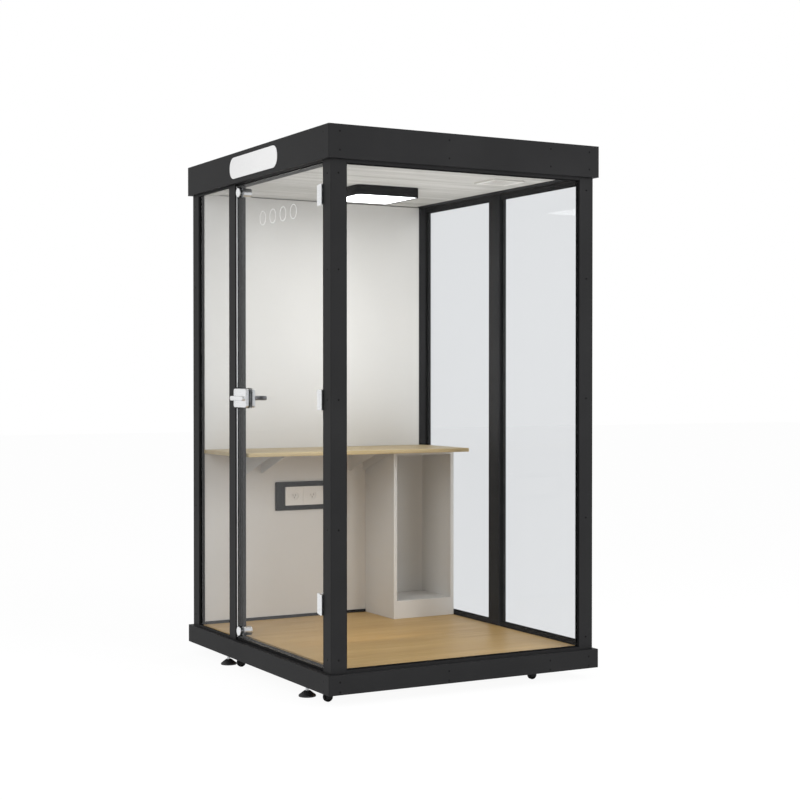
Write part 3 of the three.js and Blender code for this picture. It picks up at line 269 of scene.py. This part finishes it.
def edge_distance(tree, low, high):
    """How far a point of a plate lies inside its outline, seen from above."""
    centre = (Vector(low) + Vector(high)) / 2
    axes = object_axes(tree)
    away = []
    for i, axis in enumerate("XY"):
        off = math_node(tree, "SUBTRACT", axes[axis], centre[i])
        off = math_node(tree, "ABSOLUTE", off)
        away.append(math_node(tree, "SUBTRACT", off, high[i] - centre[i]))
    return math_node(tree, "MULTIPLY", math_node(tree, "MAXIMUM", *away), -1.0)


def glowing(name, low, high):
    """Opal diffuser with a faint prismatic grain, brighter away from its rim."""
    material, tree, shader = new_material(name)
    grain = noise(tree, place_on_object(tree), 260, detail=2)
    white = ramp(tree, grain, [(0.3, (0.94, 0.95, 0.96)), (0.7, (1, 1, 1))])
    inside = math_node(tree, "DIVIDE", edge_distance(tree, low, high), RIM)
    fade = ramp(tree, inside, [(0.25, (0.17, 0.17, 0.17)), (1, (1, 1, 1))])
    tree.links.new(white, shader.inputs["Base Color"])
    tree.links.new(multiply(tree, white, fade), shader.inputs["Emission Color"])
    shader.inputs["Emission Strength"].default_value = GLOW
    shader.inputs["Roughness"].default_value = 0.5
    bump(tree, shader, grain, strength=0.1, distance=0.0004)
    return material


# Finishes: darker to lighter colour, then the range of roughness
CHARCOAL = speckled(
    "charcoal_coat", (0.0125, 0.0125, 0.0131), (0.0165, 0.0165, 0.0172), (0.55, 0.7),
    relief=0.04, sheen=0.18,
)
# Black rubber, darker than rubber itself: its deep black is partly painted shade of the gaps where the seals
# and gaskets sit.
RUBBER_WITH_GAP_SHADE = speckled(
    "black_rubber", (0.003, 0.003, 0.0033), (0.006, 0.006, 0.0064), (0.65, 0.8),
    grain=500, relief=0.2, sheen=0.15,
)
BLACKENED = speckled(
    "blackened_steel", (0.002, 0.002, 0.0022), (0.004, 0.004, 0.0042), (0.4, 0.5),
    relief=0.05, sheen=0.08,
)
BLACK = speckled(
    "black_plastic", (0.008, 0.008, 0.0085), (0.012, 0.012, 0.0125), (0.45, 0.58),
    grain=600, sheen=0.15,
)
WHITE = speckled(
    "white_plastic", (0.74, 0.72, 0.68), (0.79, 0.77, 0.73), (0.32, 0.42),
    grain=500, relief=0.06,
)
BOARD = speckled(
    "white_board", (0.66, 0.647, 0.618), (0.70, 0.687, 0.658), (0.5, 0.62),
    grain=350, relief=0.08, cloud=1.5,
)
COAT_WHITE = speckled("white_coat", (0.67, 0.657, 0.63), (0.71, 0.697, 0.67), (0.4, 0.52), grain=800)
# The lip is clear; its opaque pale colour is a painted highlight of its lit edge.
CLEAR_LIP_HIGHLIGHT = speckled(
    "clear_lip_painted_highlight", (0.60, 0.61, 0.62), (0.68, 0.69, 0.70), (0.2, 0.3),
    grain=300, relief=0.03,
)
GLOSS_WHITE = speckled(
    "gloss_white", (0.90, 0.90, 0.90), (0.93, 0.93, 0.93), (0.12, 0.2),
    grain=300, relief=0.02,
)
FLOOR_OAK = wood("floor_oak", (0.47, 0.29, 0.10), (0.56, 0.36, 0.132), (0.64, 0.43, 0.172))
DESK_OAK = wood("desk_oak", (0.44, 0.325, 0.165), (0.51, 0.395, 0.212), (0.58, 0.465, 0.265))
CEILING_GREY = wood(
    "ceiling_wood", (0.36, 0.353, 0.33), (0.51, 0.502, 0.475), (0.66, 0.65, 0.625),
    rough=(0.5, 0.66), pore=0.68, across=8,
)
SILVER = brushed("satin_silver", (0.82, 0.83, 0.84))
# A darker copy of the satin silver for the inner thumb turn: painted shade, as that lever faces away from the
# light.
SHADED_SILVER = brushed("satin_silver_painted_shade", (0.24, 0.24, 0.25))
GLASS = clear_glass("clear_glass", (0.940, 0.945, 0.950))
FOOT = foot_finish("foot")
DIFFUSER = glowing("opal_diffuser", *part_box("lamp_diffuser"))

BY_NODE = {
    # The thumb turn is silver hardware; its darker copy is painted shade.
    "thumb_turn": SHADED_SILVER,
    "foot_front_left": FOOT,
    "foot_front_right": FOOT,
    "foot_rear_left": FOOT,
    "foot_rear_right": FOOT,
}
BY_SLOT = {
    "charcoal_frame": CHARCOAL,
    "charcoal_panel": CHARCOAL,
    "clear_glass": GLASS,
    "silver_hardware": SILVER,
    "black_rubber": RUBBER_WITH_GAP_SHADE,
    "oak_floor": FLOOR_OAK,
    "oak_desk": DESK_OAK,
    "ceiling_wood": CEILING_GREY,
    "white_board": BOARD,
    "white_metal": COAT_WHITE,
    "white_plastic": WHITE,
    "black_plastic": BLACK,
    "diffuser": DIFFUSER,
}


# CAD nodes keep their shape: eased edges, in metres, and a finish by node or slot
EASE = 0.001
EASED = {"lock_case": 0.0004, "lamp_diffuser": 0.0008, "vent_grille": 0.0006, "socket_insert": 0.0008}
WELD = 0.00001
CAD_ANGLE = 35
TRIM_ANGLE = 30


def ease_edges(obj, width, angle):
    """Rounds the edges that are sharper than an angle in degrees."""
    bevel = obj.modifiers.new("ease", "BEVEL")
    bevel.width = width
    bevel.segments = 2
    bevel.limit_method = "ANGLE"
    bevel.angle_limit = math.radians(angle)
    bevel.harden_normals = True


def smooth(obj, width):
    mesh = obj.data
    if "custom_normal" in mesh.attributes:
        mesh.attributes.remove(mesh.attributes["custom_normal"])
    mesh.shade_smooth()
    weld = obj.modifiers.new("weld", "WELD")
    weld.merge_threshold = WELD
    ease_edges(obj, width, CAD_ANGLE)


def dress_nodes():
    slots = {row["node"]: row["material_slot"] for row in frame["record"]["subparts"]}
    for name, obj in NODES.items():
        material = BY_NODE.get(name, BY_SLOT[slots[name]])
        for material_slot in obj.material_slots:
            material_slot.material = material
        if slots[name] != "clear_glass":
            smooth(obj, EASED.get(name, EASE))


dress_nodes()


# Mesh forms for trim
def block(bm, low, high):
    low, high = spot(*low), spot(*high)
    made = bmesh.ops.create_cube(bm, size=1)
    size = high - low
    for vert in made["verts"]:
        vert.co = Vector(((vert.co[i] + 0.5) * size[i] + low[i] for i in range(3)))


def skin(bm, row, following):
    """Faces between two closed rows of points."""
    for i in range(len(row)):
        j = (i + 1) % len(row)
        bm.faces.new((row[i], row[j], following[j], following[i]))


def band(bm, outer, inner, place, near, far):
    """A closed band between two outlines, from near to far; place(u, v, w) gives the point."""
    rows = []
    for outline, w in ((outer, near), (outer, far), (inner, far), (inner, near)):
        rows.append([bm.verts.new(place(u, v, w)) for u, v in outline])
    for row, following in zip(rows, rows[1:] + rows[:1]):
        skin(bm, row, following)


def lid(bm, outline, place, levels):
    """A closed plate: the outline, grown by each level's (grow, w), with a cap at both ends."""
    rows = []
    for grow, w in levels:
        rows.append([bm.verts.new(place(*point, w)) for point in grown(outline, grow)])
    for row, following in zip(rows, rows[1:]):
        skin(bm, row, following)
    bm.faces.new(rows[0])
    bm.faces.new(list(reversed(rows[-1])))


def circle(u, v, radius, sides=24):
    angles = [2 * math.pi * i / sides for i in range(sides)]
    return [(u + radius * math.cos(angle), v + radius * math.sin(angle)) for angle in angles]


def rounded(u, v, width, height, radius, steps=6):
    """Points of a rounded rectangle, each with its outward direction."""
    points = []
    for quarter, (su, sv) in enumerate(((1, 1), (-1, 1), (-1, -1), (1, -1))):
        corner = (u + su * (width / 2 - radius), v + sv * (height / 2 - radius))
        for i in range(steps + 1):
            angle = math.pi / 2 * (quarter + i / steps)
            way = (math.cos(angle), math.sin(angle))
            points.append(((corner[0] + radius * way[0], corner[1] + radius * way[1]), way))
    return points


def grown(outline, grow):
    """The points of a rounded outline, moved outwards."""
    return [(u + grow * du, v + grow * dv) for (u, v), (du, dv) in outline]


def rectangle(u, v):
    return [(u[0], v[0]), (u[1], v[0]), (u[1], v[1]), (u[0], v[1])]


def on_front(u, v, w):
    return spot(u, w, v)


def on_side(u, v, w):
    return spot(w, u, v)


def piece(name, material, body, build, ease=0.0004):
    """A trim piece: build(bm) draws it, and it rides on one body."""
    bm = bmesh.new()
    build(bm)
    bmesh.ops.recalc_face_normals(bm, faces=bm.faces)
    mesh = bpy.data.meshes.new(name)
    bm.to_mesh(mesh)
    bm.free()
    mesh.materials.append(material)
    obj = bpy.data.objects.new(name, mesh)
    bpy.context.scene.collection.objects.link(obj)
    if ease:
        mesh.shade_smooth()
        ease_edges(obj, ease, TRIM_ANGLE)
    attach(obj, body)


# Boxes that the trim is placed by
LEFT_POST = box_of("post_front_left")
REAR_POST = box_of("post_rear_right")
DOOR_MULLION = box_of("door_mullion")
REAR_MULLION = box_of("rear_mullion")
PLINTH = box_of("plinth_front")
FASCIA = box_of("fascia_front")
SIDELIGHT = box_of("sidelight_glass")
DOOR = box_of("door_glass")
DOOR_LINE = middle(DOOR.front, DOOR.rear)
LOCK_CASE = box_of("lock_case")
FLOOR = box_of("floor_panel")
DESK = box_of("desk_top")
LINING = box_of("wall_lining")
SOCKET_PLATE = box_of("socket_plate")
SOCKETS = box_of("socket_insert")
SEAT = 0.1             # gap between a thin piece and the face it lies on


# Screws: low button heads with a socket, as pairs of radius and height
HEAD = [(0, 0.2), (1.9, 0.2), (2.2, 1.1), (3.4, 1.2), (4.5, 0.8), (5.0, 0.1), (5.0, -0.6), (0, -0.6)]
HEAD_SIDES = 12
FRAME_SIZE = 0.8       # sizes of the heads, against the profile above
RAIL_SIZE = 0.7
HINGE_SIZE = 0.85
FLUSH = 0.2            # rise of the heads on the outermost faces


def screw(bm, centre, axis, size, rise=1.0):
    """A screw head on a face; rise flattens it."""
    turn = Vector((0, 0, 1)).rotation_difference(Vector(axis)).to_matrix()
    at = spot(*centre)
    rings = []
    for radius, height in HEAD:
        outline = circle(0, 0, radius * size, HEAD_SIDES) if radius else [(0, 0)]
        level = height * rise * size
        rings.append([bm.verts.new(at + turn @ (Vector((x, y, level)) * MM)) for x, y in outline])
    for row, following in zip(rings, rings[1:]):
        for i in range(HEAD_SIDES):
            j = (i + 1) % HEAD_SIDES
            around = ((row, i), (row, j), (following, j), (following, i))
            corners = [ring[k % len(ring)] for ring, k in around]
            bm.faces.new(list(dict.fromkeys(corners)))


# Rows of screws: heights, and places along the faces
FASCIA_ROWS = (2198, 2272)
PLINTH_ROWS = (62, 101)
FACE_X = (-700, -400, 150, 700)
FACE_Y = (-600, -100, 400, 600)
HALF_WIDTH = box_of("fascia_right").right
HALF_DEPTH = box_of("fascia_rear").rear
POST_ROWS = (185, 700, 1215, 1730, 2110)
POST_X = 701           # a little outside the posts' middle
POST_Y = middle(REAR_POST.front, REAR_POST.rear)
MULLION_ROWS = (236, 727, 1216, 1703, 2061)
RAIL_X = (-350, 350)   # the rear rails' faces towards the room
RAIL_Y = 598
RAIL_ROWS = (2154, 146)


def frame_screws(bm):
    for z in FASCIA_ROWS + PLINTH_ROWS:
        for x in FACE_X:
            screw(bm, (x, -HALF_DEPTH, z), (0, -1, 0), FRAME_SIZE, FLUSH)
            screw(bm, (-x, HALF_DEPTH, z), (0, 1, 0), FRAME_SIZE, FLUSH)
        for y in FACE_Y:
            screw(bm, (HALF_WIDTH, y, z), (1, 0, 0), FRAME_SIZE, FLUSH)
            screw(bm, (-HALF_WIDTH, y, z), (-1, 0, 0), FRAME_SIZE, FLUSH)
    for z in POST_ROWS:
        for side in (-1, 1):
            for end in (-1, 1):
                screw(bm, (side * REAR_POST.right, end * POST_Y, z), (side, 0, 0), FRAME_SIZE)
                screw(bm, (side * POST_X, end * REAR_POST.rear, z), (0, end, 0), FRAME_SIZE)
    for z in MULLION_ROWS:
        screw(bm, (0, REAR_MULLION.front, z), (0, -1, 0), FRAME_SIZE)
        screw(bm, (0, REAR_MULLION.rear, z), (0, 1, 0), FRAME_SIZE)
    for x in RAIL_X:
        for z in RAIL_ROWS:
            screw(bm, (x, RAIL_Y, z), (0, -1, 0), RAIL_SIZE)


PANEL_INSETS = (10.5, 11)


def panel_screws(bm):
    for y in between(SOCKET_PLATE.front, SOCKET_PLATE.rear, PANEL_INSETS[0]):
        for z in between(SOCKET_PLATE.bottom, SOCKET_PLATE.top, PANEL_INSETS[1]):
            screw(bm, (SOCKET_PLATE.right, y, z), (1, 0, 0), FRAME_SIZE)


HINGE_INSET = 14
HINGE_RISE = 24
HINGE_HALF = 11.3      # half the thickness of a hinge's clamp around the glass


def hinge_screws(bm):
    for row in ("top", "middle", "bottom"):
        leaf = box_of(f"hinge_{row}_door_leaf")
        for rise in (-HINGE_RISE, HINGE_RISE):
            z = middle(leaf.bottom, leaf.top) + rise
            for way in (-1, 1):
                place = (leaf.left + HINGE_INSET, DOOR_LINE + way * HINGE_HALF, z)
                screw(bm, place, (0, way, 0), HINGE_SIZE)


piece("frame_screws", BLACKENED, "pod", frame_screws, ease=0)
piece("panel_screws", BLACK, "pod", panel_screws, ease=0)
piece("hinge_screws", SILVER, "door", hinge_screws, ease=0)


# Glazing gaskets: thin rubber lips on both faces of each fixed pane, whose deep black also paints the shade of
# the joints between glass and frame
LIP = 4.5
LIP_THICK = 2.4


def pane_lips(bm, place, u, v, faces):
    """Lips on a pane's two faces, the lower one first, around the opening u by v."""
    outer = rectangle(u, v)
    inner = rectangle(between(*u, LIP), between(*v, LIP))
    for face, way in zip(faces, (-1, 1)):
        band(bm, outer, inner, place, face + way * SEAT, face + way * LIP_THICK)


def gaskets(bm):
    right_glass = box_of("right_glass")
    rear_glass = box_of("rear_glass_right")
    depth = between(LEFT_POST.rear, REAR_POST.front, SEAT)
    height = between(box_of("plinth_right").top, box_of("fascia_right").bottom, SEAT)
    pane_lips(bm, on_side, depth, height, (right_glass.left, right_glass.right))
    width = between(LEFT_POST.right, DOOR_MULLION.left, SEAT)
    height = between(SIDELIGHT.bottom, SIDELIGHT.top, SEAT)
    pane_lips(bm, on_front, width, height, (SIDELIGHT.front, SIDELIGHT.rear))
    height = between(box_of("plinth_rear").top, box_of("fascia_rear").bottom, SEAT)
    for side in ((-REAR_POST.left, REAR_MULLION.left), (REAR_MULLION.right, REAR_POST.left)):
        pane_lips(bm, on_front, between(*side, SEAT), height, (rear_glass.front, rear_glass.rear))


piece("glazing_gaskets", RUBBER_WITH_GAP_SHADE, "pod", gaskets)


# Sidelight bay: beads in front of the pane, and strips behind it that carry on the floor, ceiling and desk
BAY_GAP = 0.4
JOINT = 0.3
STRIP_GAP = 0.2
BAY = between(LEFT_POST.right, DOOR_MULLION.left, BAY_GAP)
SILL = PLINTH.top + JOINT
HEADER = FASCIA.bottom - JOINT
BEHIND = SIDELIGHT.rear + LIP_THICK + STRIP_GAP
BEAD_THICK = 5
LOWER_BEAD_TOP = FLOOR.top + 2
UPPER_BEAD_HEIGHT = 10.7
CEILING_STRIP = 3.2
DESK_SHORT = 8         # how far the desk's strip stops short of the pane
DESK_SIDE = 2          # and short of the mullion


def bay_beads(bm):
    face = LEFT_POST.front + BAY_GAP
    for low, high in ((SILL, LOWER_BEAD_TOP), (HEADER - UPPER_BEAD_HEIGHT, HEADER)):
        block(bm, (BAY[0], face, low), (BAY[1], face + BEAD_THICK, high))


def bay_floor(bm):
    block(bm, (BAY[0], BEHIND, SILL), (BAY[1], FLOOR.front - JOINT, FLOOR.top))


def bay_ceiling(bm):
    block(bm, (BAY[0], BEHIND, HEADER - CEILING_STRIP), (BAY[1], FASCIA.rear - JOINT, HEADER))


def bay_desk(bm):
    low = (BAY[0], SIDELIGHT.rear + DESK_SHORT, DESK.bottom + STRIP_GAP)
    block(bm, low, (BAY[1] - DESK_SIDE, DESK.front - JOINT, DESK.top))


piece("bay_beads", CHARCOAL, "pod", bay_beads, ease=0.0008)
piece("bay_floor", FLOOR_OAK, "pod", bay_floor)
piece("bay_ceiling", CEILING_GREY, "pod", bay_ceiling)
piece("bay_desk", DESK_OAK, "pod", bay_desk, ease=0.0015)


# Door edges: a clear lip on the closing edge, drawn opaque and pale as a painted highlight, and black sweeps
# above and below, whose deep black is partly painted shade of the gaps
LIP_WIDTH = 2.2
LIP_OUT = 2            # how far the lip reaches in front of the glass's outer face, and behind it
LIP_IN = 1.5
LIP_ENDS = 0.5
LIP_CLEAR = 4          # gap between the lip and the lock case
SWEEP_INSET = 1
LOWER_SWEEP_HALF = 6.5
UPPER_SWEEP_HALF = 5.5
SILL_CLEAR = 2
HEADER_CLEAR = 4


def closing_lip(bm):
    lower = (DOOR.bottom + LIP_ENDS, LOCK_CASE.bottom - LIP_CLEAR)
    upper = (LOCK_CASE.top + LIP_CLEAR, DOOR.top - LIP_ENDS)
    for bottom, top in (lower, upper):
        low = (DOOR.left - LIP_WIDTH, DOOR.front - LIP_OUT, bottom)
        block(bm, low, (DOOR.left - SEAT, DOOR.front + LIP_IN, top))


# The sweeps are real seals; their deep black is partly painted shade of the gaps above and below the door.
def door_sweeps(bm):
    left, right = between(DOOR.left, DOOR.right, SWEEP_INSET)
    lower = (LOWER_SWEEP_HALF, PLINTH.top + SILL_CLEAR, DOOR.bottom - SEAT)
    upper = (UPPER_SWEEP_HALF, DOOR.top + SEAT, FASCIA.bottom - HEADER_CLEAR)
    for half, low, high in (lower, upper):
        block(bm, (left, DOOR_LINE - half, low), (right, DOOR_LINE + half, high))


piece("closing_lip", CLEAR_LIP_HIGHLIGHT, "door", closing_lip)
piece("door_sweeps", RUBBER_WITH_GAP_SHADE, "door", door_sweeps)


# Rubber around the lock case and the catch discs
RUBBER_WIDTH = 2.2
CASE_CORNER = 12
CASE_RUBBER_OUT = 3    # thickness of the rubber outside and inside the glass
CASE_RUBBER_IN = 1.6
DISC_RUBBER = 4


def case_gaskets(bm):
    u = middle(LOCK_CASE.left, LOCK_CASE.right)
    v = middle(LOCK_CASE.bottom, LOCK_CASE.top)
    width = LOCK_CASE.right - LOCK_CASE.left
    height = LOCK_CASE.top - LOCK_CASE.bottom
    outline = rounded(u, v, width, height, CASE_CORNER)
    outer = grown(outline, RUBBER_WIDTH)
    inner = grown(outline, 0)
    band(bm, outer, inner, on_front, DOOR.front - SEAT, DOOR.front - CASE_RUBBER_OUT)
    band(bm, outer, inner, on_front, DOOR.rear + SEAT, DOOR.rear + CASE_RUBBER_IN)


def disc_gaskets(bm):
    for node in ("armature_top", "armature_bottom"):
        disc = box_of(node)
        u = middle(disc.left, disc.right)
        v = middle(disc.bottom, disc.top)
        radius = u - disc.left
        outer = circle(u, v, radius + RUBBER_WIDTH)
        inner = circle(u, v, radius + SEAT)
        band(bm, outer, inner, on_front, DOOR.front - SEAT, DOOR.front - DISC_RUBBER)


piece("case_gaskets", RUBBER_WITH_GAP_SHADE, "door", case_gaskets)
piece("disc_gaskets", RUBBER_WITH_GAP_SHADE, "door", disc_gaskets)


# Blank sign plate on the fascia and plain rings on the door glass
SIGN_CENTRE = (16, 2232.5)
SIGN_SIZE = (504, 94)
SIGN_CORNER = 43
SIGN_STEPS = 10
SIGN_LEVELS = ((0, SEAT), (0, 1.9), (-0.6, 2.6), (-3, 2.8))  # growth of the outline, and place off the fascia
RING_X = (62, 165, 268, 371)
RING_HEIGHT = 1990
RING_RADII = (31, 28.6)
RING_SIDES = 40
RING_FACE = 0.5


def sign_plate(bm):
    outline = rounded(*SIGN_CENTRE, *SIGN_SIZE, SIGN_CORNER, SIGN_STEPS)
    lid(bm, outline, on_front, [(grow, FASCIA.front - off) for grow, off in SIGN_LEVELS])


def glass_rings(bm):
    for x in RING_X:
        outer, inner = [circle(x, RING_HEIGHT, radius, RING_SIDES) for radius in RING_RADII]
        band(bm, outer, inner, on_front, DOOR.front - SEAT, DOOR.front - RING_FACE)


piece("sign_plate", GLOSS_WHITE, "pod", sign_plate)
piece("glass_rings", GLOSS_WHITE, "door", glass_rings, ease=0)


# Skirting along the desk wall, up to the cabinet
SKIRTING_GAP = 0.2
SKIRTING_THICK = 6.5
SKIRTING_TOP = 14
SKIRTING_ENDS = (0.7, 0.6)


def skirting(bm):
    low = (LINING.right + SKIRTING_GAP, LINING.front + SKIRTING_ENDS[0], FLOOR.top + SKIRTING_GAP)
    end = box_of("cabinet").front - SKIRTING_ENDS[1]
    block(bm, low, (LINING.right + SKIRTING_THICK, end, FLOOR.top + SKIRTING_TOP))


piece("skirting", BLACK, "pod", skirting, ease=0.0012)


# Socket faces: flat black patches in the wells of the first two modules, painted shade of the socket holes
MODULE = 96            # from one socket module to the next
WELL = 4               # depth of a module's well
SLOT_HALF = 4.5
SLOTS = ((-7, 4, 2.2), (7, 4, 2.2), (0, -8, 2.4))  # place across and up, and width
SLOT_SUNK = 0.2
SLOT_RISE = 0.25


def socket_hole_shade(bm):
    face = SOCKETS.right - WELL
    second = middle(SOCKETS.front, SOCKETS.rear)
    height = middle(SOCKETS.bottom, SOCKETS.top)
    for y in (second - MODULE, second):
        for across, up, width in SLOTS:
            low = (face - SLOT_SUNK, y + across - width / 2, height + up - SLOT_HALF)
            block(bm, low, (face + SLOT_RISE, y + across + width / 2, height + up + SLOT_HALF))


piece("socket_hole_shade", BLACK, "pod", socket_hole_shade, ease=0)


# Camera at the photograph's place
CAMERA_PLACE = (6.253, -3.354, 1.296)
CAMERA_AIM = (-0.87454, 0.48477, -0.01309)
LENS = 70.5
SENSOR = 36
FAR = 100


def turned(direction):
    """The rotation that points a camera or lamp along a direction."""
    return Vector(direction).to_track_quat("-Z", "Y").to_euler()


def add_camera():
    camera = bpy.data.objects.new("camera", bpy.data.cameras.new("camera"))
    bpy.context.scene.collection.objects.link(camera)
    camera.location = CAMERA_PLACE
    camera.rotation_euler = turned(CAMERA_AIM)
    camera.data.sensor_width = SENSOR
    camera.data.lens = LENS
    camera.data.clip_end = FAR
    bpy.context.scene.camera = camera


# Pale floor, even studio light
STUDIO_WHITE = (1, 1, 1, 1)
STUDIO_LIGHT = 0.55    # how much the white surroundings light the pod
STAGE_HALF = 30
STAGE_GREY = (0.86, 0.86, 0.86, 1)
STAGE_WHITE = 1.04     # strength of the white that the floor is seen with
STAGE_SHARE = 0.9      # share of that white; the rest shows the shadows


def ray_share(tree):
    """1 for rays that show the background: straight from the camera, mirrored or passed on."""
    path = tree.nodes.new("ShaderNodeLightPath")
    total = path.outputs["Is Camera Ray"]
    for name in ("Is Glossy Ray", "Is Transmission Ray"):
        total = math_node(tree, "MAXIMUM", total, path.outputs[name])
    return total


def add_world():
    world = bpy.data.worlds.new("studio")
    bpy.context.scene.world = world
    world.use_nodes = True
    tree = world.node_tree
    tree.nodes.clear()
    light = add(tree, "ShaderNodeBackground", Color=STUDIO_WHITE, Strength=STUDIO_LIGHT)
    seen = add(tree, "ShaderNodeBackground", Color=STUDIO_WHITE, Strength=1.0)
    mix_shaders(tree, ray_share(tree), light, seen, tree.nodes.new("ShaderNodeOutputWorld"))


def floor_material():
    material, tree, shader = new_material("studio_floor")
    shader.inputs["Base Color"].default_value = STAGE_GREY
    shader.inputs["Roughness"].default_value = 0.9
    shader.inputs["Specular IOR Level"].default_value = 0.0
    white = add(tree, "ShaderNodeEmission", Color=STUDIO_WHITE, Strength=STAGE_WHITE)
    share = math_node(tree, "MULTIPLY", ray_share(tree), STAGE_SHARE)
    mix_shaders(tree, share, shader, white, tree.nodes["Material Output"])
    return material


def add_floor():
    mesh = bpy.data.meshes.new("studio_floor")
    reach = (-STAGE_HALF, STAGE_HALF)
    mesh.from_pydata([(x, y, 0) for x, y in rectangle(reach, reach)], [], [(0, 1, 2, 3)])
    mesh.materials.append(floor_material())
    floor = bpy.data.objects.new("studio_floor", mesh)
    bpy.context.scene.collection.objects.link(floor)


def add_lamp(name, place, target, size, power, color=(1, 1, 1)):
    lamp = bpy.data.objects.new(name, bpy.data.lights.new(name, "AREA"))
    bpy.context.scene.collection.objects.link(lamp)
    lamp.data.shape = "SQUARE"
    lamp.data.size = size
    lamp.data.energy = power
    lamp.data.color = color
    lamp.location = place
    lamp.rotation_euler = turned(Vector(target) - Vector(place))
    lamp.visible_camera = False
    lamp.visible_glossy = False


add_camera()
add_world()
add_floor()
add_lamp("key", (3.0, -5.0, 3.5), (0, 0, 1.2), size=3.0, power=128)
add_lamp("side", (5.5, 2.5, 3.0), (0, 0, 1.0), size=3.0, power=235)
add_lamp("room", (0.35, 0.04, 2.105), (0.35, 0.04, 0), size=0.8, power=4.0)
add_lamp("bounce", (0.42, 0.04, 0.98), (0.38, 0.04, 2.2), size=0.9, power=12.5)
add_lamp("floor_glow", (0.15, -0.1, 0.17), (-0.6, -0.1, 0.7), size=0.7, power=1.6, color=(1.0, 0.70, 0.40))
bpy.context.scene.view_settings.view_transform = "Standard"
